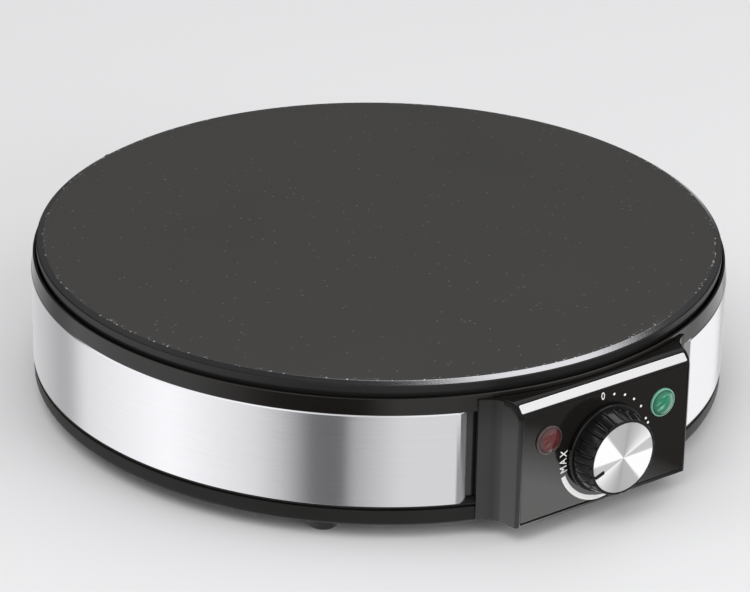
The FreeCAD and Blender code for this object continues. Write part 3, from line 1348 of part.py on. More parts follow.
def make_foot_screws():
    head_place = of.foot_screw_well - of.foot_screw_head_height
    length = band_bottom + of.foot_screw_grip - of.foot_screw_well
    make_screws("foot_screws", foot_seats, "XY_Plane", head_place, of.foot_screw_head,
                of.foot_screw_head_height, of.foot_screw_radius, length, False)


def make_saddle_screws():
    head_place = plate_under - of.saddle_sheet - of.small_head_height
    make_screws("saddle_screws", saddle_screw_seats(), "XY_Plane", head_place, of.small_head_radius,
                of.small_head_height, of.small_screw_radius, of.plate_thickness / 2, False)


def make_block_screws():
    seats = [(side * of.block_screw_x, of.block_y) for side in (-1, 1)]
    head_place = base_floor + of.block_height
    make_screws("block_screws", seats, "XY_Plane", head_place, of.small_head_radius,
                of.small_head_height, of.small_screw_radius,
                of.block_height + of.base_wall - of.screw_clearance, True)


def make_panel_screws():
    head_place = of.panel_reach - of.fascia_thickness - of.panel_screw_head_height - of.screw_clearance
    make_screws("thermostat_screws", panel_screw_seats, "XZ_Plane", head_place, of.panel_screw_head,
                of.panel_screw_head_height, of.panel_screw_radius, of.panel_screw_length, True)


def make_housing_screws():
    body = make_body("housing_screws")
    for name, turn in ear_turns():
        head = add_radial_sketch(body, name + "_head", turn,
                                 ear_inner - of.small_head_height - of.screw_clearance)
        add_circle(head, 0, of.ear_screw_height, of.small_head_radius)
        pad(body, name + "_head_height", head, of.small_head_height)
        shank = add_radial_sketch(body, name + "_shank", turn, ear_inner - of.screw_clearance)
        add_circle(shank, 0, of.ear_screw_height, of.small_screw_radius)
        length = of.skirt_wall + of.ear_clearance + of.ear_screw_grip
        pad(body, name + "_shank_length", shank, length)


make_base_pan()
make_feet()
make_foot_screws()
make_band("left_band", -1)
make_band("right_band", 1)
make_collar()
make_control_housing()
make_rear_housing()
make_housing_screws()
make_fascia()
make_trim_strip()
make_plate()
make_element()
make_element_clips()
make_rods("element_beads", leg_seats(), of.leg_end - of.bead_height, of.bead_height,
          of.bead_radius, of.pin_radius + of.screw_clearance)
make_rods("element_pins", leg_seats(), of.leg_end - of.pin_length, of.pin_length, of.pin_radius)
make_shield()
make_rods("plate_spacers", post_seats, shield_top, of.spacer_height, of.spacer_radius,
          of.plate_screw_radius + of.screw_clearance)
make_plate_screws()
make_lying_rod("sensor_bulb", of.bulb_y, of.bulb_radius, of.bulb_length)
make_saddle("bulb_clip", of.bulb_y, of.bulb_radius)
make_lying_rod("thermal_fuse", of.fuse_y, of.fuse_radius, of.fuse_length)
make_saddle("fuse_clip", of.fuse_y, of.fuse_radius)
make_saddle_screws()
make_thermostat()
make_panel_screws()
make_capillary()
make_knob_body()
make_knob_cap()
make_shaft()
make_light("red_lens", "red_lamp", -of.lens_x)
make_light("green_lens", "green_lamp", of.lens_x)
make_spring_nuts()
make_gland()
make_terminal_block()
make_block_screws()
make_wires()

doc.recompute()

# Every object is sound before anything is written
for item in doc.Objects:
    if "Invalid" in item.State or "Error" in item.State:
        raise RuntimeError(item.Name + " failed: " + str(item.State))
for piece in sub_parts:
    if piece.Shape.isNull() or not piece.Shape.isValid() or piece.Shape.Volume <= 0:
        raise RuntimeError(piece.Label + " has no sound shape")

os.makedirs("parts", exist_ok=True)
for piece in sub_parts:
    piece.Shape.exportStep("parts/" + piece.Label + ".step")
    print(piece.Label, len(piece.Shape.Solids), round(piece.Shape.Volume, 1))
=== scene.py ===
import bmesh
import bpy
import json
import math
from mathutils import Matrix, Vector


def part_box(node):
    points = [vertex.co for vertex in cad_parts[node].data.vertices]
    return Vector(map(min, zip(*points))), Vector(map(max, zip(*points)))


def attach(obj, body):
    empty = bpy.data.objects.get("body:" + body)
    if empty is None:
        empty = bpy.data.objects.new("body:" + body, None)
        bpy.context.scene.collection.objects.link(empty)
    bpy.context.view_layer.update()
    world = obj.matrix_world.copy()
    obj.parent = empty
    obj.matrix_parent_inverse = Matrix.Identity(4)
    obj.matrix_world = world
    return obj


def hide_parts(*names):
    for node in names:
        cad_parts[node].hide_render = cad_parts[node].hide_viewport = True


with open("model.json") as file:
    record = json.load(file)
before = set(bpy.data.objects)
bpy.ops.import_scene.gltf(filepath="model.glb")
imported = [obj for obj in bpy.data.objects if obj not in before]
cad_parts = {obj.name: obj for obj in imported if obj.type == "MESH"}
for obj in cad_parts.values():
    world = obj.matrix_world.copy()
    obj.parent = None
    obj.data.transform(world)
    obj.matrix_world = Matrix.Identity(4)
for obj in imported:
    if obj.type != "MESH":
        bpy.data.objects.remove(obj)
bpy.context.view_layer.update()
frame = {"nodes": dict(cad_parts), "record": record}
nodes = frame["nodes"]
mm = 0.001
weld = 0.001 * mm  # points closer than this are one
print("frame loaded:", len(nodes), "nodes")


# shader maths: an output of a shader node that takes part in sums and products
class Amount:
    def __init__(self, wiring, socket):
        self.wiring = wiring
        self.socket = socket

    def worked(self, operation, first, second=0.0):
        return self.wiring.node("ShaderNodeMath", {"operation": operation}, {0: first, 1: second})

    def __add__(self, other):
        return self.worked("ADD", self, other)

    def __radd__(self, other):
        return self.worked("ADD", other, self)

    def __sub__(self, other):
        return self.worked("SUBTRACT", self, other)

    def __rsub__(self, other):
        return self.worked("SUBTRACT", other, self)

    def __mul__(self, other):
        return self.worked("MULTIPLY", self, other)

    def __truediv__(self, other):
        return self.worked("DIVIDE", self, other)

    def __pow__(self, other):
        return self.worked("POWER", self, other)

    def above(self, other):
        return self.worked("GREATER_THAN", self, other)

    def below(self, other):
        return self.worked("LESS_THAN", self, other)

    def turnFrom(self, other):
        return self.worked("ARCTAN2", self, other)

    def fraction(self):
        return self.worked("FRACT", self)


# the nodes of one material or of the world
class Wiring:
    def __init__(self, tree):
        self.tree = tree

    def feed(self, socket, value):
        if isinstance(value, Amount):
            self.tree.links.new(value.socket, socket)
        else:
            socket.default_value = value

    def node(self, kind, settings, sockets, output=0):
        made = self.tree.nodes.new(kind)
        for key, value in settings.items():
            setattr(made, key, value)
        for key, value in sockets.items():
            self.feed(made.inputs[key], value)
        return Amount(self, made.outputs[output])

    def place(self):
        return self.node("ShaderNodeTexCoord", {}, {}, "Object")

    def split(self, vector):
        parts = self.node("ShaderNodeSeparateXYZ", {}, {0: vector})
        return [Amount(self, socket) for socket in parts.socket.node.outputs]

    def joined(self, x, y, z):
        return self.node("ShaderNodeCombineXYZ", {}, {0: x, 1: y, 2: z})

    def noise(self, vector, scale, detail=2.0):
        return self.node("ShaderNodeTexNoise", {}, {"Vector": vector, "Scale": scale, "Detail": detail})

    def mix(self, amount, first, second):
        return self.node("ShaderNodeMix", {"data_type": "RGBA"}, {0: amount, 6: first, 7: second}, 2)

    def choose(self, share, first, second):
        return first + (second - first) * share

    def between(self, amount, low, high):
        # 0 below low, 1 above high, even in between
        return self.node("ShaderNodeMapRange", {"clamp": True},
                         {0: amount, 1: low, 2: high, 3: 0.0, 4: 1.0})

    def bump(self, height, distance, strength=1.0):
        return self.node("ShaderNodeBump", {},
                         {"Strength": strength, "Distance": distance, "Height": height})

    def specks(self, vector, scale, size, share):
        cells = self.node("ShaderNodeTexVoronoi", {}, {"Vector": vector, "Scale": scale})
        tint = self.split(Amount(self, cells.socket.node.outputs["Color"]))
        return cells.below(size) * tint[0].above(1 - share)

    def ramp(self, amount, levels, span):
        # grey levels along a span, each given as (place, level)
        made = self.node("ShaderNodeValToRGB", {}, {0: amount})
        stops = made.socket.node.color_ramp.elements
        while len(stops) < len(levels):
            stops.new(0.5)
        for stop, (at, level) in zip(stops, levels):
            stop.position = (at - span[0]) / (span[1] - span[0])
            stop.color = (level, level, level, 1)
        return made

    def reach(self, x, z, axisX, axisZ):
        across = x - axisX
        height = z - axisZ
        return across, height, (across * across + height * height) ** 0.5


class Finish(Wiring):
    def __init__(self, name, settings):
        self.material = bpy.data.materials.new(name)
        self.material.use_nodes = True
        super().__init__(self.material.node_tree)
        self.shader = self.tree.nodes["Principled BSDF"]
        self.set(settings)

    def set(self, values):
        for socket, value in values.items():
            self.feed(self.shader.inputs[socket], value)


# shapes
def spunShape(profile, steps, closed=True, turn=math.tau, start=0.0):
    # a profile of (reach, height) in mm, turned round the upright axis
    shape = bmesh.new()
    points = [shape.verts.new((r * mm, 0, z * mm)) for r, z in profile]
    for first, second in zip(points, points[1:]):
        shape.edges.new((first, second))
    if closed:
        shape.edges.new((points[-1], points[0]))
    bmesh.ops.rotate(shape, verts=shape.verts, cent=(0, 0, 0), matrix=Matrix.Rotation(start, 3, "Z"))
    bmesh.ops.spin(shape, geom=shape.verts[:] + shape.edges[:], cent=(0, 0, 0), axis=(0, 0, 1),
                   angle=turn, steps=steps, use_merge=turn == math.tau)
    bmesh.ops.remove_doubles(shape, verts=shape.verts, dist=weld)
    bmesh.ops.recalc_face_normals(shape, faces=shape.faces)
    return shape


def roundRing(shape, radius, height, size, segments=6):
    # rounds the edge that runs round the upright axis at that radius and height
    near = 0.003

    def onRing(vertex):
        reach = math.hypot(vertex.co.x, vertex.co.y) / mm
        return abs(reach - radius) < near and abs(vertex.co.z / mm - height) < near

    ring = [edge for edge in shape.edges if onRing(edge.verts[0]) and onRing(edge.verts[1])]
    bmesh.ops.bevel(shape, geom=ring, offset=size * mm, segments=segments, affect="EDGES",
                    profile=0.5, material=-1, offset_type="OFFSET")


def joinShapes(shapes):
    whole = bmesh.new()
    for shape in shapes:
        mesh = bpy.data.meshes.new("loose")
        shape.to_mesh(mesh)
        shape.free()
        whole.from_mesh(mesh)
        bpy.data.meshes.remove(mesh)
    return whole


def grownPoints(grown):
    # the points that an extrusion made
    return [item for item in grown["geom"] if isinstance(item, bmesh.types.BMVert)]


def faceFront(shape, x, y, z):
    # stands a flat-lying shape up at that place, with its top towards the front
    stand = Matrix.Translation((x, y, z)) @ Matrix.Rotation(math.pi / 2, 4, "X")
    bmesh.ops.transform(shape, matrix=stand, verts=shape.verts)


def finishShape(name, shape, finish, body="cooker", replaced=(), sharp=32):
    mesh = bpy.data.meshes.new(name)
    shape.to_mesh(mesh)
    shape.free()
    mesh.shade_smooth()
    mesh.set_sharp_from_angle(angle=math.radians(sharp))
    piece = bpy.data.objects.new(name, mesh)
    bpy.context.scene.collection.objects.link(piece)
    mesh.materials.append(finish.material)
    evenOut = piece.modifiers.new("evenShading", "WEIGHTED_NORMAL")
    evenOut.keep_sharp = True
    evenOut.weight = 100
    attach(piece, body)
    if replaced:
        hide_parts(*replaced)
    return piece


def welded(node):
    # a copy of a node's mesh with its doubled points joined
    shape = bmesh.new()
    shape.from_mesh(nodes[node].data)
    bmesh.ops.remove_doubles(shape, verts=shape.verts, dist=weld / 2)
    bmesh.ops.recalc_face_normals(shape, faces=shape.faces)
    return shape


def refined(name, node, finish, body="cooker"):
    # a smooth copy of a node of the frame
    return finishShape(name, welded(node), finish, body, (node,))


# finishes
def paler(color, factor, lift=0.0):
    # the pale end of a colour that varies
    return [min(1.0, value * factor + lift) for value in color[:3]] + [1]


def coatedFinish(flatReach, sideTop):
    # coated, darker down its side; the facet between its ridge and sideTop is turned bright
    look = {"dark": (0.014, 0.013, 0.012, 1), "pale": (0.030, 0.028, 0.026, 1), "cloudScale": 14,
            "cloudShare": 0.7, "grainScale": 1600, "grainDepth": 0.00006, "grainStrength": 0.5,
            "shine": 0.42, "rough": 0.32, "roughGrain": 0.16, "roughCloud": 0.08,
            "speck": (0.15, 0.145, 0.14, 1), "speckScale": 420, "speckSize": 0.16, "speckShare": 0.10,
            "wear": (0.55, 0.54, 0.52, 1), "wearScale": 950, "wearSize": 0.34, "wearShare": 0.22,
            "wearWidth": 2.2 * mm, "side": (0.006, 0.0058, 0.0055, 1),
            "facet": (0.44, 0.44, 0.46, 1), "facetRough": 0.10, "facetGrain": 0.1}
    finish = Finish("plateCoating", {"Specular IOR Level": look["shine"]})
    place = finish.place()
    x, y, z = finish.split(place)
    reach = (x * x + y * y) ** 0.5
    cloud = finish.noise(place, look["cloudScale"], detail=4)
    grain = finish.noise(place, look["grainScale"], detail=3)
    fleck = finish.specks(place, look["speckScale"], look["speckSize"], look["speckShare"])
    tone = finish.mix(finish.choose(look["cloudShare"], grain, cloud), look["dark"], look["pale"])
    coat = finish.mix(fleck, tone, look["speck"])
    wear = (finish.between(reach, flatReach - look["wearWidth"], flatReach)
            * finish.specks(place, look["wearScale"], look["wearSize"], look["wearShare"]))
    coat = finish.mix(wear, coat, look["wear"])
    edge = reach.above(flatReach)
    facet = edge * z.above(sideTop)
    coatRough = look["rough"] + grain * look["roughGrain"] + cloud * look["roughCloud"]
    facetRough = look["facetRough"] + grain * look["facetGrain"]
    finish.set({"Base Color": finish.mix(edge, coat, finish.mix(facet, look["side"], look["facet"])),
                "Metallic": facet,
                "Roughness": finish.choose(facet, coatRough, facetRough),
                "Normal": finish.bump(grain, look["grainDepth"], look["grainStrength"])})
    return finish


def glossFinish(name, color, gloss, wave, shine, coat=0.0):
    # glossy plastic with slow waves in its skin
    look = {"brighten": 1.7, "lift": 0.002, "cloudScale": 22, "dustScale": 900, "roughSpread": 0.05,
            "coatRough": 0.04, "waveScale": 55, "waveStrength": 0.35}
    finish = Finish(name, {"Specular IOR Level": shine, "Coat Roughness": look["coatRough"],
                           "Coat Weight": coat})
    place = finish.place()
    cloud = finish.noise(place, look["cloudScale"], detail=3)
    dust = finish.noise(place, look["dustScale"])
    waves = finish.noise(place, look["waveScale"], detail=1)
    finish.set({"Base Color": finish.mix(cloud, color, paler(color, look["brighten"], look["lift"])),
                "Roughness": gloss + dust * look["roughSpread"] + cloud * look["roughSpread"],
                "Normal": finish.bump(waves, wave, look["waveStrength"])})
    return finish


def satinFinish(name, color, rough, grain, shine=0.5):
    # fine pores
    look = {"brighten": 1.5, "lift": 0.003, "cloudScale": 30, "cloudShare": 0.6, "roughSpread": 0.14,
            "poreDepth": 0.00005, "poreStrength": 0.4}
    finish = Finish(name, {"Specular IOR Level": shine})
    place = finish.place()
    pores = finish.noise(place, grain)
    cloud = finish.noise(place, look["cloudScale"], detail=3)
    finish.set({"Base Color": finish.mix(finish.choose(look["cloudShare"], pores, cloud), color,
                                         paler(color, look["brighten"], look["lift"])),
                "Roughness": rough + pores * look["roughSpread"],
                "Normal": finish.bump(pores, look["poreDepth"], look["poreStrength"])})
    return finish


def brushedFinish(name, color, rough):
    # brushed round the upright axis of the cooker
    look = {"brighten": 1.12, "lineAlong": 5.0, "lineAcross": 5200.0, "lineDepth": 0.000022,
            "lineShare": 0.4, "streakAlong": 3.0, "streakAcross": 900.0, "streakLayer": 4.0,
            "roughSpread": 0.08}
    finish = Finish(name, {"Metallic": 1.0})
    x, y, z = finish.split(finish.place())
    turn = x.turnFrom(y * -1)
    linePlace = finish.joined(turn * look["lineAlong"], z * look["lineAcross"], 0.0)
    streakPlace = finish.joined(turn * look["streakAlong"], z * look["streakAcross"], look["streakLayer"])
    lines = finish.noise(linePlace, 1.0, detail=3)
    streaks = finish.noise(streakPlace, 1.0)
    finish.set({"Base Color": finish.mix(finish.choose(look["lineShare"], lines, streaks), color,
                                         paler(color, look["brighten"])),
                "Roughness": rough + lines * look["roughSpread"],
                "Normal": finish.bump(lines, look["lineDepth"])})
    return finish


def trimFinish():
    # brushed along the strip
    look = {"dark": (0.84, 0.84, 0.85, 1), "pale": (0.95, 0.95, 0.96, 1), "along": 60.0, "across": 5200.0,
            "rough": 0.18, "roughSpread": 0.12, "lineDepth": 0.00001, "lineStrength": 0.6}
    finish = Finish("brightTrim", {"Metallic": 1.0})
    x, y, z = finish.split(finish.place())
    lines = finish.noise(finish.joined(x * look["along"], y * look["across"], z * look["across"]), 1.0)
    finish.set({"Base Color": finish.mix(lines, look["dark"], look["pale"]),
                "Roughness": look["rough"] + lines * look["roughSpread"],
                "Normal": finish.bump(lines, look["lineDepth"], look["lineStrength"])})
    return finish


def spunFinish(axisX, axisZ):
    # turned rings round the axis of the knob, and painted highlight fans: the fans of light that such
    # turning shows, painted into the colour in two equal halves, each from 0 to 180 degrees clockwise from
    # the top, with its grey levels
    look = {"paintedFans": ((0, 0.42), (10, 0.36), (36, 0.55), (62, 0.86), (66, 0.86), (69, 0.52), (87, 0.55),
                     (91, 0.98), (140, 0.98), (146, 0.46), (180, 0.42)),
            "metal": 0.2, "shine": 0.6, "ringScale": 5200.0, "ring": (0.45, 0.45, 0.46, 1),
            "ringShare": 0.16, "ringDepth": 0.00004, "ringStrength": 0.8, "rough": 0.24,
            "roughSpread": 0.14}
    finish = Finish("spunCap", {"Metallic": look["metal"], "Specular IOR Level": look["shine"]})
    x, y, z = finish.split(finish.place())
    across, height, reach = finish.reach(x, z, axisX, axisZ)
    rings = finish.noise(finish.joined(reach * look["ringScale"], 0.0, 0.0), 1.0, detail=3)
    # painted highlight: the fans are grey levels in the colour, so they turn with the cap
    paintedFan = finish.ramp((across.turnFrom(height) / math.pi).fraction(), look["paintedFans"], (0, 180))
    finish.set({"Base Color": finish.mix(rings * look["ringShare"], paintedFan, look["ring"]),
                "Roughness": look["rough"] + rings * look["roughSpread"],
                "Normal": finish.bump(rings, look["ringDepth"], look["ringStrength"])})
    return finish


def lensFinish(name, tint, axisX, axisZ, radius):
    # a clear core with painted highlight streaks, a painted shade ring round it and a thin painted
    # highlight line at the rim;
    # the ends of each band of the lens are shares of its radius
    look = {"shine": 0.5, "coat": 0.7, "coatRough": 0.03, "streakAlong": 230.0, "streakAcross": 1000.0,
            "streakLean": 0.35, "streakLevels": (0.54, 0.68), "streakEnd": (0.55, 0.8),
            "ring": (0.66, 0.82), "rim": (0.90, 0.93), "cloudScale": 420, "rough": 0.08,
            "roughSpread": 0.08, "cloudDepth": 0.00002, "cloudStrength": 0.3}
    finish = Finish(name, {"Coat Roughness": look["coatRough"], "Specular IOR Level": look["shine"],
                           "Coat Weight": look["coat"]})
    place = finish.place()
    x, y, z = finish.split(place)
    across, height, reach = finish.reach(x, z, axisX, axisZ)
    share = reach / radius
    lean = height - across * look["streakLean"]
    lines = finish.noise(finish.joined(across * look["streakAlong"], 0.0, lean * look["streakAcross"]), 1.0)
    # painted highlight: pale streaks across the core
    streaks = (finish.between(lines, *look["streakLevels"])
               * (1 - finish.between(share, *look["streakEnd"])))
    cloud = finish.noise(place, look["cloudScale"])
    core = finish.mix(cloud, tint["dark"], tint["clear"])
    coreWithHighlight = finish.mix(streaks * tint["streaks"], core, tint["pale"])
    # painted shade: the dark ring round the core
    withShadeRing = finish.mix(finish.between(share, *look["ring"]), coreWithHighlight, tint["ring"])
    # painted highlight: the thin pale line at the rim
    finish.set({"Base Color": finish.mix(finish.between(share, *look["rim"]), withShadeRing, tint["rim"]),
                "Roughness": look["rough"] + cloud * look["roughSpread"],
                "Normal": finish.bump(cloud, look["cloudDepth"], look["cloudStrength"])})
    return finish


def metalFinish(name, color, rough):
    look = {"brighten": 1.25, "cloudScale": 160, "grainScale": 2600, "grainDepth": 0.00002,
            "grainStrength": 0.5, "roughSpread": 0.15}
    finish = Finish(name, {"Metallic": 1.0})
    place = finish.place()
    cloud = finish.noise(place, look["cloudScale"], detail=3)
    grain = finish.noise(place, look["grainScale"])
    finish.set({"Base Color": finish.mix(cloud, color, paler(color, look["brighten"])),
                "Roughness": rough + grain * look["roughSpread"],
                "Normal": finish.bump(grain, look["grainDepth"], look["grainStrength"])})
    return finish


def centreOf(node):
    low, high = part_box(node)
    return (low + high) / 2


knobX, knobZ = centreOf("knob_body").x, centreOf("knob_body").z
redX, greenX, lensZ = centreOf("red_lens").x, centreOf("green_lens").x, centreOf("red_lens").z
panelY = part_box("front_fascia")[0].y
lensRadius = 6.5 * mm
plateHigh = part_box("cooking_plate")[1]
ridgeInset = 2.7 * mm
facetDrop = 1.4 * mm

# in each tint the pale streaks and the rim are painted highlight, and the ring is painted shade
redTint = {"dark": (0.045, 0.006, 0.007, 1), "clear": (0.12, 0.024, 0.026, 1), "streaks": 0.3,
           "pale": (0.34, 0.14, 0.14, 1), "ring": (0.035, 0.012, 0.012, 1), "rim": (0.075, 0.05, 0.05, 1)}
greenTint = {"dark": (0.006, 0.12, 0.062, 1), "clear": (0.010, 0.21, 0.11, 1), "streaks": 0.75,
             "pale": (0.30, 0.62, 0.47, 1), "ring": (0.004, 0.085, 0.045, 1), "rim": (0.17, 0.42, 0.31, 1)}

finishes = {
    "plate_coating": coatedFinish(plateHigh.x - ridgeInset, plateHigh.z - facetDrop),
    "black_gloss": glossFinish("blackGloss", (0.006, 0.0054, 0.005, 1), gloss=0.10, wave=0.0002,
                               shine=0.42, coat=0.12),
    "black_satin": satinFinish("blackSatin", (0.013, 0.0125, 0.012, 1), rough=0.34, grain=1500, shine=0.10),
    "brushed_band": brushedFinish("brushedBand", (0.765, 0.765, 0.79, 1), rough=0.09),
    "bright_trim": trimFinish(),
    "spun_cap": spunFinish(knobX, knobZ),
    "foot_rubber": satinFinish("footRubber", (0.013, 0.013, 0.013, 1), rough=0.55, grain=2200),
    "fastener_steel": metalFinish("fastenerSteel", (0.48, 0.47, 0.45, 1), rough=0.28),
    "sheath_steel": metalFinish("sheathSteel", (0.22, 0.20, 0.19, 1), rough=0.40),
    "shield_steel": metalFinish("shieldSteel", (0.55, 0.55, 0.56, 1), rough=0.30),
    "ceramic": satinFinish("ceramicWhite", (0.62, 0.58, 0.50, 1), rough=0.45, grain=1800),
    "copper": metalFinish("copperMetal", (0.72, 0.36, 0.20, 1), rough=0.25),
    "red_glass": lensFinish("redGlass", redTint, redX, lensZ, lensRadius),
    "green_glass": lensFinish("greenGlass", greenTint, greenX, lensZ, lensRadius),
    "lamp_glass": satinFinish("lampGlass", (0.42, 0.40, 0.37, 1), rough=0.12, grain=900),
    "sleeve_white": satinFinish("sleeveWhite", (0.62, 0.61, 0.57, 1), rough=0.5, grain=3200),
}
# the moulded pieces that show differ a little in gloss
knobFinish = glossFinish("knobBlack", (0.0035, 0.0034, 0.0034, 1), gloss=0.13, wave=0.00005, shine=0.45)
panelFinish = glossFinish("panelGloss", (0.0050, 0.0042, 0.0036, 1), gloss=0.04, wave=0.0001, shine=0.23)
housingFinish = glossFinish("housingGloss", (0.0060, 0.0054, 0.0050, 1), gloss=0.10, wave=0.0002,
                            shine=0.11)
collarFinish = glossFinish("collarGloss", (0.0042, 0.0032, 0.0026, 1), gloss=0.10, wave=0.0002, shine=0.5)
printFinish = satinFinish("printWhite", (0.66, 0.66, 0.65, 1), rough=0.5, grain=2600, shine=0.3)

# every node of the frame takes the finish of its slot
for part in frame["record"]["subparts"]:
    mesh = nodes[part["node"]].data
    mesh.materials.clear()
    mesh.materials.append(finishes[part["material_slot"]].material)
print("finishes made:", len(finishes))


# cooking plate
def makePlate():
    low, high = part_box("cooking_plate")
    edge = (high.x - low.x) / 2 / mm
    top = high.z / mm
    plate = {"slopeWidth": 2.8, "slopeDrop": 1.7, "sideDrop": 4.9, "lipStep": 0.8, "lipDrop": 7.5,
             "lipWidth": 3.0, "underDrop": 4.5, "draft": 1.0, "ribCentre": 95.0, "ribHalf": 11.0,
             "ribDepth": 7.0, "ridgeRound": 0.45, "edgeRound": 0.3, "middle": 0.5, "steps": 288}
    flat = edge - plate["slopeWidth"]
    slopeFoot = top - plate["slopeDrop"]
    sideFoot = top - plate["sideDrop"]
    lipFoot = top - plate["lipDrop"]
    under = top - plate["underDrop"]
    ribFoot = under - plate["ribDepth"]
    lip = edge - plate["lipStep"]
    lipInside = lip - plate["lipWidth"]
    ribOuter = plate["ribCentre"] + plate["ribHalf"]
    ribInner = plate["ribCentre"] - plate["ribHalf"]
    shape = spunShape([
        (0, top), (flat * plate["middle"], top), (flat, top), (edge, slopeFoot), (edge, sideFoot),
        (lip, sideFoot), (lip, lipFoot), (lipInside, lipFoot), (lipInside - plate["draft"], under),
        (ribOuter + plate["draft"], under), (ribOuter, ribFoot), (ribInner, ribFoot),
        (ribInner - plate["draft"], under), (0, under)], plate["steps"], closed=False)
    roundRing(shape, flat, top, plate["ridgeRound"])
    roundRing(shape, edge, slopeFoot, plate["edgeRound"])
    roundRing(shape, edge, sideFoot, plate["edgeRound"])
    finishShape("cookingPlate", shape, finishes["plate_coating"],
                replaced=("cooking_plate",))


# base pan, with a tighter lower corner and a lower ledge than the node's
def makeBasePan():
    # end is the share of the wide corner, at each end of it, that goes to the side or the floor
    pan = {"side": 157.9, "round": 8.0, "tight": 3.5, "grow": 0.25, "drop": 1.2, "groove": 156.0,
           "end": 0.11, "near": 0.02, "slack": 0.01}
    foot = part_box("base_pan")[0].z / mm
    centreReach = pan["side"] - pan["round"]
    centreHeight = foot + pan["round"]
    sideEnd = centreHeight - pan["drop"]
    end = pan["end"]
    shape = welded("base_pan")
    for vertex in shape.verts:
        reach = math.hypot(vertex.co.x, vertex.co.y) / mm
        height = vertex.co.z / mm
        out, down = reach - centreReach, centreHeight - height
        newReach, newHeight = reach, height
        onCorner = abs(math.hypot(out, down) - pan["round"]) < pan["near"]
        if onCorner and out > -pan["slack"] and down > -pan["slack"]:
            share = math.degrees(math.atan2(down, out)) / 90
            lean = min(1.0, max(0.0, (share - end) / (1 - 2 * end))) * math.pi / 2
            newReach = pan["side"] - pan["tight"] * (1 - math.cos(lean))
            newHeight = foot + pan["tight"] * (1 - math.sin(lean))
            if share < end:
                newHeight += (sideEnd - foot - pan["tight"]) * (1 - share / end)
            if share > 1 - end:
                newReach -= (pan["round"] - pan["tight"]) * (share - 1 + end) / end
        elif reach > pan["groove"] and height > centreHeight:
            newHeight = height - pan["drop"]
        # the side grows outwards; what stands out past it stays
        grown = newReach - pan["side"] + pan["tight"]
        if 0 < grown < pan["tight"] + pan["slack"]:
            newReach += pan["grow"] * grown / pan["tight"]
        if reach > 0:
            vertex.co.x *= newReach / reach
            vertex.co.y *= newReach / reach
            vertex.co.z = newHeight * mm
    finishShape("basePan", shape, finishes["black_satin"], replaced=("base_pan",))


# collar with the wall behind the bands
def makeCollar():
    low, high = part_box("collar_ring")
    outer = (high.x - low.x) / 2 / mm
    top = high.z / mm
    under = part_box("left_band")[1].z / mm
    foot = low.z / mm
    collar = {"draft": 0.8, "rim": 1.2, "edgeRound": 0.5, "mouthRound": 0.4, "skirtInset": 0.7,
              "skirtWall": 2.4, "gapAngle": 27.2, "steps": 288, "wallSteps": 96, "bossRadius": 5.0,
              "bossHeight": 14.6, "footReach": 145.5}
    topRadius = outer - collar["draft"]
    mouth = topRadius - collar["rim"]
    ring = spunShape([(outer, under), (topRadius, top), (mouth, top), (mouth, under)], collar["steps"])
    roundRing(ring, topRadius, top, collar["edgeRound"])
    roundRing(ring, mouth, top, collar["mouthRound"])
    skirtOuter = outer - collar["skirtInset"]
    skirtInner = skirtOuter - collar["skirtWall"]
    shapes = [ring]
    for side in (0, 1):
        start = math.radians(collar["gapAngle"] - 90 + 180 * side)
        wall = spunShape([(skirtInner, foot), (skirtOuter, foot), (skirtOuter, under), (skirtInner, under)],
                         collar["wallSteps"], start=start,
                         turn=math.pi - 2 * math.radians(collar["gapAngle"]))
        bmesh.ops.holes_fill(wall, edges=[edge for edge in wall.edges if edge.is_boundary])
        bmesh.ops.recalc_face_normals(wall, faces=wall.faces)
        shapes.append(wall)
    for quarter in range(4):
        turn = math.radians(45 + 90 * quarter)
        boss = bmesh.new()
        bmesh.ops.create_cone(boss, cap_ends=True, segments=32, radius1=collar["bossRadius"] * mm,
                              radius2=collar["bossRadius"] * mm, depth=collar["bossHeight"] * mm)
        reach = collar["footReach"] * mm
        height = (foot + collar["bossHeight"] / 2) * mm
        bmesh.ops.translate(boss, verts=boss.verts,
                            vec=(reach * math.cos(turn), reach * math.sin(turn), height))
        shapes.append(boss)
    finishShape("collar", joinShapes(shapes), collarFinish, replaced=("collar_ring",))


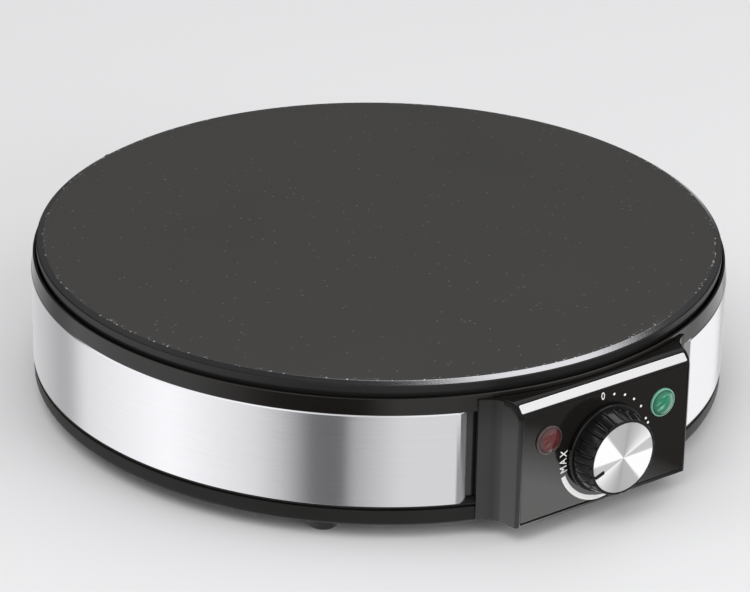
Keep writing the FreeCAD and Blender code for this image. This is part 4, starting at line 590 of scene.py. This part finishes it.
# steel bands
def makeBand(name, node, side):
    low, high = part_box(node)
    outer = max(abs(low.x), abs(high.x))
    band = {"endAngle": 23.4, "fold": 4.0, "foldAngle": 28.0, "sheet": 0.6, "steps": 200, "edge": 0.28,
            "edgeAngle": 50, "sharp": 20, "drop": 1.2, "hem": 0.8, "hemLean": 0.45, "upright": 0.1}
    end = math.radians(band["endAngle"])
    fold = math.radians(band["foldAngle"])
    shape = bmesh.new()
    corner = (side * outer * math.sin(end), -outer * math.cos(end))
    inner = 1 - band["hemLean"] * mm / outer
    points = [shape.verts.new((*corner, low.z - band["drop"] * mm)),
              shape.verts.new((*corner, high.z - band["hem"] * mm)),
              shape.verts.new((corner[0] * inner, corner[1] * inner, high.z))]
    for first, second in zip(points, points[1:]):
        shape.edges.new((first, second))
    bmesh.ops.spin(shape, geom=shape.verts[:] + shape.edges[:], cent=(0, 0, 0), axis=(0, 0, 1),
                   angle=side * (math.pi - 2 * end), steps=band["steps"], use_merge=False)
    # the folded ends turn inwards from the tangent
    for lengthwise in (-1, 1):
        uprights = [edge for edge in shape.edges if edge.is_boundary
                    and abs(edge.verts[0].co.z - edge.verts[1].co.z) > band["upright"] * mm
                    and edge.verts[0].co.y * lengthwise > 0]
        grown = bmesh.ops.extrude_edge_only(shape, edges=uprights)
        tangent = Vector((-side * math.cos(end), lengthwise * math.sin(end), 0))
        inward = Vector((-side * math.sin(end), -lengthwise * math.cos(end), 0))
        away = (tangent * math.cos(fold) + inward * math.sin(fold)) * band["fold"] * mm
        bmesh.ops.translate(shape, vec=away, verts=grownPoints(grown))
    bmesh.ops.recalc_face_normals(shape, faces=shape.faces)
    # the skin faces outwards, so its sheet grows inwards
    middle = shape.faces[:][band["steps"] // 2]
    if middle.normal.dot(middle.calc_center_median()) < 0:
        bmesh.ops.reverse_faces(shape, faces=shape.faces)
    piece = finishShape(name, shape, finishes["brushed_band"], replaced=(node,),
                        sharp=band["sharp"])
    wall = piece.modifiers.new("sheet", "SOLIDIFY")
    wall.thickness = band["sheet"] * mm
    wall.offset = -1
    wall.use_even_offset = True
    edge = piece.modifiers.new("edges", "BEVEL")
    edge.width = band["edge"] * mm
    edge.segments = 3
    edge.limit_method = "ANGLE"
    edge.angle_limit = math.radians(band["edgeAngle"])
    # the even shading comes last
    piece.modifiers.move(0, 2)


# control housing, with the flares that sweep out to the ends of the bands
def makeHousing():
    # plan of one flare: its curved face starts on the flank and ends before the band
    flare = {"start": (48.45, -155.8), "bend": (49.54, -151.16), "end": (56.3, -148.6), "steps": 12,
             "back": ((55.2, -146.2), (51.6, -147.2), (47.6, -153.0)), "foot": 8.0, "top": 64.9,
             "edge": 0.5, "near": 0.01}
    shapes = [welded("control_housing")]
    for side in (-1, 1):
        outline = []
        for part in range(flare["steps"] + 1):
            share = part / flare["steps"]
            outline.append([(1 - share) ** 2 * start + 2 * share * (1 - share) * bend + share ** 2 * end
                            for start, bend, end in zip(flare["start"], flare["bend"], flare["end"])])
        shape = bmesh.new()
        corners = [shape.verts.new((side * x * mm, y * mm, flare["foot"] * mm))
                   for x, y in outline + list(flare["back"])]
        shape.faces.new(corners)
        grown = bmesh.ops.extrude_face_region(shape, geom=shape.faces[:])
        bmesh.ops.translate(shape, vec=(0, 0, (flare["top"] - flare["foot"]) * mm),
                            verts=grownPoints(grown))
        bmesh.ops.recalc_face_normals(shape, faces=shape.faces)
        last = Vector((side * flare["end"][0] * mm, flare["end"][1] * mm))
        corner = [edge for edge in shape.edges
                  if all((vertex.co.xy - last).length < flare["near"] * mm for vertex in edge.verts)]
        bmesh.ops.bevel(shape, geom=corner, offset=flare["edge"] * mm, segments=4, affect="EDGES",
                        profile=0.5, material=-1)
        shapes.append(shape)
    finishShape("controlHousing", joinShapes(shapes), housingFinish,
                replaced=("control_housing",))


# front fascia and trim
def slabShape(halfWidth, low, high, corner, thickness, edge):
    # a flat-lying plate with round corners and a rounded upper edge
    shape = bmesh.new()
    bmesh.ops.create_grid(shape, x_segments=1, y_segments=1, size=0.5)
    bmesh.ops.scale(shape, vec=(2 * halfWidth * mm, (high - low) * mm, 1), verts=shape.verts)
    bmesh.ops.translate(shape, vec=(0, (high + low) / 2 * mm, 0), verts=shape.verts)
    bmesh.ops.bevel(shape, geom=shape.verts[:], offset=corner * mm, segments=6, affect="VERTICES",
                    profile=0.5, material=-1)
    grown = bmesh.ops.extrude_face_region(shape, geom=shape.faces[:])
    bmesh.ops.translate(shape, vec=(0, 0, -thickness * mm), verts=grownPoints(grown))
    bmesh.ops.recalc_face_normals(shape, faces=shape.faces)
    rim = [item for item in shape.edges if all(abs(vertex.co.z) < weld for vertex in item.verts)]
    bmesh.ops.bevel(shape, geom=rim, offset=edge * mm, segments=4, affect="EDGES", profile=0.5, material=-1)
    return shape


def makeFascia():
    low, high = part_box("front_fascia")
    fascia = {"corner": 0.8, "sheet": 2.0, "edge": 0.4}
    shape = slabShape(high.x / mm, low.z / mm, high.z / mm, fascia["corner"], fascia["sheet"],
                      fascia["edge"])
    faceFront(shape, 0, panelY, 0)
    finishShape("frontFascia", shape, panelFinish, replaced=("front_fascia",))


def makeTrim():
    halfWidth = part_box("trim_strip")[1].x / mm
    trim = {"width": 4.1, "thickness": 1.0, "corner": 0.8, "tilt": 46.0, "edge": 0.25,
            "shoulder": 6.5, "outerFace": 6.2}
    shape = slabShape(halfWidth, -trim["width"] / 2, trim["width"] / 2, trim["corner"],
                      trim["thickness"], trim["edge"])
    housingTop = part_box("control_housing")[1].z
    tilt = math.radians(trim["tilt"])
    centreY = panelY + trim["shoulder"] * mm
    centreZ = housingTop - trim["shoulder"] * mm
    move = Matrix.Translation((0, centreY - trim["outerFace"] * mm * math.sin(tilt),
                               centreZ + trim["outerFace"] * mm * math.cos(tilt)))
    bmesh.ops.transform(shape, matrix=move @ Matrix.Rotation(tilt, 4, "X"), verts=shape.verts)
    finishShape("trimStrip", shape, finishes["bright_trim"], replaced=("trim_strip",))


# knob
def fluteReach(radius, turn, knob):
    # distance of the outline from the axis at that turn, with the round flutes cut in
    pitch = math.tau / knob["flutes"]
    off = (turn + pitch / 2) % pitch - pitch / 2
    centre = knob["faceRadius"] + knob["fluteOutset"]
    room = knob["fluteRadius"] ** 2 - (centre * math.sin(off)) ** 2
    if room <= 0:
        return radius
    cut = centre * math.cos(off) - math.sqrt(room)
    far = centre * math.cos(off) + math.sqrt(room)
    return cut if cut < radius < far else radius


def makeKnob():
    knob = {"gap": 0.8, "flangeRadius": 20.2, "flangeTop": 2.4, "gripRadius": 19.0, "faceRadius": 17.5,
            "face": 12.4, "edge": 0.5, "flutes": 24, "fluteRadius": 0.9, "fluteOutset": 0.27,
            "stepsPerFlute": 20, "seatRadius": 16.2, "seat": 11.8, "flangeSteps": 240, "sink": 0.2,
            "waist": 6.0, "waistInset": 0.35, "shoulder": 1.0, "shoulderOutset": 0.15, "edgeSteps": 5,
            "rimLeft": 0.05, "near": 0.01, "sharp": 38}
    steps = knob["flutes"] * knob["stepsPerFlute"]
    flange = spunShape([(0, knob["gap"]), (knob["flangeRadius"], knob["gap"]),
                        (knob["flangeRadius"], knob["flangeTop"]), (knob["seatRadius"], knob["flangeTop"]),
                        (0, knob["flangeTop"])], knob["flangeSteps"], closed=False)
    roundRing(flange, knob["flangeRadius"], knob["flangeTop"], knob["edge"])
    levels = [(knob["gripRadius"], knob["flangeTop"] - knob["sink"]),
              (knob["gripRadius"] - knob["waistInset"], knob["waist"]),
              (knob["faceRadius"] + knob["shoulderOutset"], knob["face"] - knob["edge"] - knob["shoulder"]),
              (knob["faceRadius"], knob["face"] - knob["edge"])]
    for part in range(1, knob["edgeSteps"] + 1):
        lean = math.radians(90 / knob["edgeSteps"] * part)
        levels.append((knob["faceRadius"] - knob["edge"] * (1 - math.cos(lean)),
                       knob["face"] - knob["edge"] * (1 - math.sin(lean))))
    levels += [(knob["seatRadius"], knob["face"]), (knob["seatRadius"], knob["seat"]), (0, knob["seat"])]
    grip = spunShape(levels, steps, closed=False)
    for vertex in grip.verts:
        reach = math.hypot(vertex.co.x, vertex.co.y) / mm
        if reach > knob["seatRadius"] + knob["near"]:
            turn = math.atan2(vertex.co.y, vertex.co.x)
            wanted = max(fluteReach(reach, turn, knob), knob["seatRadius"] + knob["rimLeft"])
            vertex.co.x *= wanted / reach
            vertex.co.y *= wanted / reach
    shape = joinShapes([flange, grip])
    faceFront(shape, knobX, panelY, knobZ)
    finishShape("knobBody", shape, knobFinish, "knob", ("knob_body",), sharp=knob["sharp"])


# indicator lenses
def makeLens(name, node, x, finish):
    lens = {"flange": lensRadius / mm, "flangeTop": 1.0, "edge": 0.3, "dome": 5.7, "domeTop": 2.4,
            "seat": 5.0, "rings": 12, "steps": 96}
    rise = lens["domeTop"] - lens["flangeTop"]
    curve = (lens["dome"] ** 2 + rise ** 2) / (2 * rise)
    profile = [(0, -lens["flangeTop"]), (lens["seat"], -lens["flangeTop"]), (lens["seat"], 0),
               (lens["flange"], 0), (lens["flange"], lens["flangeTop"]), (lens["dome"], lens["flangeTop"])]
    for part in range(lens["rings"] - 1, -1, -1):
        reach = lens["dome"] * part / lens["rings"]
        profile.append((reach, lens["domeTop"] - curve + math.sqrt(curve ** 2 - reach ** 2)))
    shape = spunShape(profile, lens["steps"], closed=False)
    roundRing(shape, lens["flange"], lens["flangeTop"], lens["edge"], segments=4)
    faceFront(shape, x, panelY, lensZ)
    finishShape(name, shape, finish, replaced=(node,))


# printed marks of the dial
def printMark(name, shapes):
    shape = joinShapes(shapes)
    faceFront(shape, knobX, panelY, knobZ)
    finishShape(name, shape, printFinish)


def raised(shape, turn, reach):
    # gives a flat mark its thin coat of paint and its place round the dial: its turn in degrees
    # clockwise from the top, and its reach from the axis of the knob
    paint = 0.04 * mm
    bmesh.ops.remove_doubles(shape, verts=shape.verts, dist=weld)
    grown = bmesh.ops.extrude_face_region(shape, geom=shape.faces[:])
    bmesh.ops.translate(shape, vec=(0, 0, paint), verts=grownPoints(grown))
    bmesh.ops.recalc_face_normals(shape, faces=shape.faces)
    angle = math.radians(turn)
    move = Matrix.Translation((reach * mm * math.sin(angle), reach * mm * math.cos(angle), 0))
    bmesh.ops.transform(shape, matrix=move @ Matrix.Rotation(-angle, 4, "Z"), verts=shape.verts)
    return shape


def letterShape(letter, size, narrow, weight, turn, reach):
    curve = bpy.data.curves.new("mark" + letter, "FONT")
    curve.body = letter
    curve.size = size * mm
    curve.offset = weight * mm
    curve.align_x = "CENTER"
    curve.align_y = "CENTER"
    text = bpy.data.objects.new("mark" + letter, curve)
    bpy.context.scene.collection.objects.link(text)
    bpy.context.view_layer.update()
    mesh = bpy.data.meshes.new_from_object(text.evaluated_get(bpy.context.evaluated_depsgraph_get()))
    shape = bmesh.new()
    shape.from_mesh(mesh)
    bpy.data.objects.remove(text)
    bpy.data.curves.remove(curve)
    bpy.data.meshes.remove(mesh)
    bmesh.ops.scale(shape, vec=(narrow, 1, 1), verts=shape.verts)
    return raised(shape, turn, reach)


def makePointer():
    # the dark bar in the notch of the cap
    bar = {"width": 1.9, "length": 5.0, "reach": 13.4, "turn": 250.0, "round": 0.6}
    shape = bmesh.new()
    bmesh.ops.create_grid(shape, x_segments=1, y_segments=1, size=0.5)
    bmesh.ops.scale(shape, vec=(bar["width"] * mm, bar["length"] * mm, 1), verts=shape.verts)
    bmesh.ops.bevel(shape, geom=shape.verts[:], offset=bar["round"] * mm, segments=5, affect="VERTICES",
                    profile=0.5, material=-1)
    shape = raised(shape, bar["turn"], bar["reach"])
    faceFront(shape, knobX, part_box("knob_cap")[0].y, knobZ)
    finishShape("knobPointer", shape, knobFinish, "knob")


def makeArc(dial):
    # a tapered bow, from its thin end to its thick end clockwise
    start = math.radians(dial["arcStart"])
    step = math.radians(dial["arcEnd"] - dial["arcStart"]) / dial["arcSteps"]
    arc = bmesh.new()
    tips = [arc.verts.new((0, 0, 0)), arc.verts.new((0, dial["thin"] * mm, 0))]
    edge = arc.edges.new(tips)
    for part in range(dial["arcSteps"] + 1):
        if part:
            grown = bmesh.ops.extrude_edge_only(arc, edges=[edge])
            tips = grownPoints(grown)
            edge = [item for item in grown["geom"] if isinstance(item, bmesh.types.BMEdge)
                    and all(vertex in tips for vertex in item.verts)][0]
            tips.sort(key=lambda vertex: vertex.co.length)
        swell = min(1.0, part / dial["arcSteps"] / dial["taper"])
        width = dial["thin"] + (dial["thick"] - dial["thin"]) * swell
        turn = start + step * part
        for side, vertex in zip((-1, 1), tips):
            reach = (dial["arcReach"] + side * width / 2) * mm
            vertex.co = (reach * math.sin(turn), reach * math.cos(turn), 0)
    return raised(arc, 0, 0)


def makeMarks():
    dial = {"zeroTurn": -5.0, "zeroReach": 24.5, "zeroSize": 5.1, "zeroNarrow": 0.8, "zeroWeight": 0.0,
            "dots": ((9.5, 24.2), (24.5, 24.0), (39.5, 23.8), (54.5, 23.7), (72.5, 23.5), (79.0, 24.2)),
            "dotRadius": 0.6, "letterTurns": (258.5, 268.0, 277.5), "letterReach": 22.4,
            "letterSize": 5.2, "letterNarrow": 0.82, "letterWeight": 0.05, "arcStart": 164.0,
            "arcEnd": 250.0, "arcReach": 23.6, "thin": 0.3, "thick": 2.3, "taper": 0.35, "arcSteps": 60}
    printMark("dialZero", [letterShape("0", dial["zeroSize"], dial["zeroNarrow"], dial["zeroWeight"],
                                       dial["zeroTurn"], dial["zeroReach"])])
    dots = []
    for turn, reach in dial["dots"]:
        dot = bmesh.new()
        bmesh.ops.create_circle(dot, cap_ends=True, segments=28, radius=dial["dotRadius"] * mm)
        dots.append(raised(dot, turn, reach))
    printMark("dialDots", dots)
    letters = [letterShape(letter, dial["letterSize"], dial["letterNarrow"], dial["letterWeight"], turn,
                           dial["letterReach"]) for letter, turn in zip("MAX", dial["letterTurns"])]
    printMark("dialMax", letters)
    printMark("dialArc", [makeArc(dial)])


# feet
def makeFoot(name, node):
    low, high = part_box(node)
    centre = (low + high) / 2
    foot = {"top": 6.8, "bottom": 6.3, "edge": 0.9, "well": 3.8, "wellDepth": 3.0, "steps": 64}
    height = (high.z - low.z) / mm
    shape = spunShape([(foot["well"], 0), (foot["bottom"], 0), (foot["top"], height), (0, height),
                       (0, foot["wellDepth"]), (foot["well"], foot["wellDepth"])], foot["steps"])
    roundRing(shape, foot["bottom"], 0, foot["edge"])
    bmesh.ops.translate(shape, vec=(centre.x, centre.y, low.z), verts=shape.verts)
    finishShape(name, shape, finishes["foot_rubber"], replaced=(node,))


makePlate()
makeCollar()
makeBand("leftBand", "left_band", -1)
makeBand("rightBand", "right_band", 1)
print("round body made")
makeBasePan()
makeHousing()
refined("rearHousing", "rear_housing", housingFinish)
refined("cordGland", "cord_gland", finishes["black_satin"])
makeFascia()
makeTrim()
print("housings made")
makeKnob()
refined("knobCap", "knob_cap", finishes["spun_cap"], "knob")
makePointer()
makeLens("redLens", "red_lens", redX, finishes["red_glass"])
makeLens("greenLens", "green_lens", greenX, finishes["green_glass"])
makeMarks()
for place in ("front_left", "front_right", "rear_left", "rear_right"):
    end, side = place.split("_")
    makeFoot("foot" + end.capitalize() + side.capitalize(), "foot_" + place)
print("controls and feet made")


# floor, light and camera
def makeFloor():
    floor = {"reach": 6.0, "color": (0.75, 0.75, 0.76, 1), "rough": 0.85}
    shape = bmesh.new()
    bmesh.ops.create_grid(shape, x_segments=1, y_segments=1, size=floor["reach"])
    mesh = bpy.data.meshes.new("floor")
    shape.to_mesh(mesh)
    shape.free()
    sheet = bpy.data.objects.new("floor", mesh)
    bpy.context.scene.collection.objects.link(sheet)
    finish = Finish("floorPaper", {"Base Color": floor["color"], "Roughness": floor["rough"],
                                   "Specular IOR Level": 0.1})
    mesh.materials.append(finish.material)
    sheet.visible_glossy = False


def makeWorld():
    # how bright the room is in a reflection, by turn in degrees from the front towards +X, in
    # three belts from the floor up, with a softbox overhead; heights and depths are those of a
    # direction one long, so -1 is straight down and 1 straight up
    studio = {"plain": 0.80,
              "low": ((-180, 0.62), (-165, 0.48), (-158, 0.5), (-148, 0.88), (-108, 1.19), (-76, 0.86),
                      (-67, 0.62), (-57, 0.18), (-46.5, 0.16), (-44.5, 0.46), (-28, 0.8), (-8, 0.8),
                      (12, 0.35), (60, 0.35), (84, 1.1), (118, 1.0), (122, 0.5), (135, 0.8), (180, 0.62)),
              "middle": ((-180, 0.2), (-164, 0.25), (-148, 1.0), (-98, 1.0), (-84, 0.6), (-68, 0.06),
                         (-40, 0.06), (-30, 0.75), (-12, 0.7), (4, 0.34), (62, 0.30), (74, 2.2),
                         (86, 0.22), (116, 0.4), (136, 0.66), (156, 0.05), (180, 0.2)),
              "high": ((-180, 0.08), (-146, 0.08), (-136, 1.1), (-68, 1.1), (-52, 0.75), (-36, 0.75),
                       (-24, 1.05), (-4, 1.0), (6, 0.7), (66, 0.7), (76, 0.10), (180, 0.08)),
              "lowEnd": (-0.37, -0.29), "middleEnd": (-0.12, 0.02), "zenith": (0.76, 0.84),
              "ceiling": 0.06, "boxWidth": (0.08, 0.28, 0.58, 0.74), "boxHeight": (0.48, 0.62),
              "boxDepth": (0.15, 0.42), "box": 1.7, "boxFront": 1.0}
    world = bpy.data.worlds.new("studio")
    bpy.context.scene.world = world
    world.use_nodes = True
    room = Wiring(world.node_tree)
    x, y, z = room.split(room.node("ShaderNodeTexCoord", {}, {}, "Generated"))
    turn = x.turnFrom(y * -1) / math.tau + 0.5
    low = room.ramp(turn, studio["low"], (-180, 180))
    high = room.ramp(turn, studio["high"], (-180, 180))
    middle = room.ramp(turn, studio["middle"], (-180, 180))
    wall = room.mix(room.between(z, *studio["lowEnd"]), low,
                    room.mix(room.between(z, *studio["middleEnd"]), middle, high))
    upper = room.mix(room.between(z, *studio["zenith"]), wall, [studio["ceiling"]] * 3 + [1])
    leftEnd, leftFull, rightFull, rightEnd = studio["boxWidth"]
    box = (room.between(x, leftEnd, leftFull) * (1 - room.between(x, rightFull, rightEnd))
           * room.between(z, *studio["boxHeight"]))
    boxTone = room.mix(room.between(y * -1, *studio["boxDepth"]), [studio["box"]] * 3 + [1],
                       [studio["boxFront"]] * 3 + [1])
    seen = room.mix(box, upper, boxTone)
    glossy = room.node("ShaderNodeLightPath", {}, {}, "Is Glossy Ray")
    plain = [studio["plain"]] * 3 + [1]
    room.feed(world.node_tree.nodes["Background"].inputs["Color"], room.mix(glossy, plain, seen))


def makeCard():
    # a pale card on the floor that only the panel and its housing reflect, fading at its edge
    card = {"x": -0.068, "y": -0.165, "height": 0.002, "full": 0.070, "end": 0.124, "light": 3.8}
    shape = bmesh.new()
    bmesh.ops.create_circle(shape, cap_ends=True, segments=64, radius=card["end"])
    bmesh.ops.translate(shape, vec=(card["x"], card["y"], card["height"]), verts=shape.verts)
    mesh = bpy.data.meshes.new("card")
    shape.to_mesh(mesh)
    shape.free()
    sheet = bpy.data.objects.new("card", mesh)
    bpy.context.scene.collection.objects.link(sheet)
    finish = Finish("cardPaper", {})
    x, y, z = finish.split(finish.place())
    reach = finish.reach(x, y, card["x"], card["y"])[2]
    glow = 1 - finish.between(reach, card["full"], card["end"])
    light = finish.node("ShaderNodeEmission", {}, {"Color": finish.mix(glow, (0, 0, 0, 1), (1, 1, 1, 1)),
                                                   "Strength": card["light"]})
    clear = finish.node("ShaderNodeBsdfTransparent", {}, {})
    both = finish.node("ShaderNodeAddShader", {}, {0: light, 1: clear})
    finish.feed(finish.tree.nodes["Material Output"].inputs["Surface"], both)
    mesh.materials.append(finish.material)
    sheet.visible_camera = False
    sheet.visible_diffuse = False
    sheet.visible_shadow = False
    group = bpy.data.collections.new("cardSeenBy")
    for name in ("frontFascia", "controlHousing"):
        group.objects.link(bpy.data.objects[name])
    sheet.light_linking.receiver_collection = group


def makeLamp(name, place, aim, size, power):
    # a round soft lamp that no reflection shows
    lamp = bpy.data.lights.new(name, "AREA")
    lamp.shape = "DISK"
    lamp.size = size
    lamp.energy = power
    holder = bpy.data.objects.new(name, lamp)
    bpy.context.scene.collection.objects.link(holder)
    back = (Vector(place) - Vector(aim)).normalized()
    holder.matrix_world = Matrix.Translation(place) @ back.to_track_quat("Z", "Y").to_matrix().to_4x4()
    holder.visible_glossy = False


def makeCamera():
    view = {"azimuth": -36.29, "elevation": 25.32, "roll": 0.974, "distance": 1.5889,
            "aim": (-0.01183, -0.01362, 0.04836), "lens": 168.0, "sensor": 36.0}
    turn = math.radians(view["azimuth"])
    rise = math.radians(view["elevation"])
    roll = math.radians(view["roll"])
    right = Vector((math.cos(turn), math.sin(turn), 0))
    back = Vector((math.sin(turn) * math.cos(rise), -math.cos(turn) * math.cos(rise), math.sin(rise)))
    up = back.cross(right)
    across = right * math.cos(roll) + up * math.sin(roll)
    upright = up * math.cos(roll) - right * math.sin(roll)
    camera = bpy.data.cameras.new("camera")
    camera.lens = view["lens"]
    camera.sensor_width = view["sensor"]
    camera.sensor_fit = "HORIZONTAL"
    holder = bpy.data.objects.new("camera", camera)
    bpy.context.scene.collection.objects.link(holder)
    place = Vector(view["aim"]) + back * view["distance"]
    holder.matrix_world = Matrix.Translation(place) @ Matrix((across, upright, back)).transposed().to_4x4()
    bpy.context.scene.camera = holder


makeFloor()
makeWorld()
makeCard()
makeLamp("keyLamp", place=(-0.9, -0.5, 1.6), aim=(0, 0, 0.05), size=1.2, power=9)
makeLamp("fillLamp", place=(1.2, -0.9, 1.2), aim=(0, 0, 0.05), size=1.4, power=4)
makeLamp("frontLamp", place=(0.4, -1.6, 0.45), aim=(0, -0.15, 0.04), size=1.0, power=10)
makeCamera()
bpy.context.scene.view_settings.view_transform = "Standard"
print("stage made")
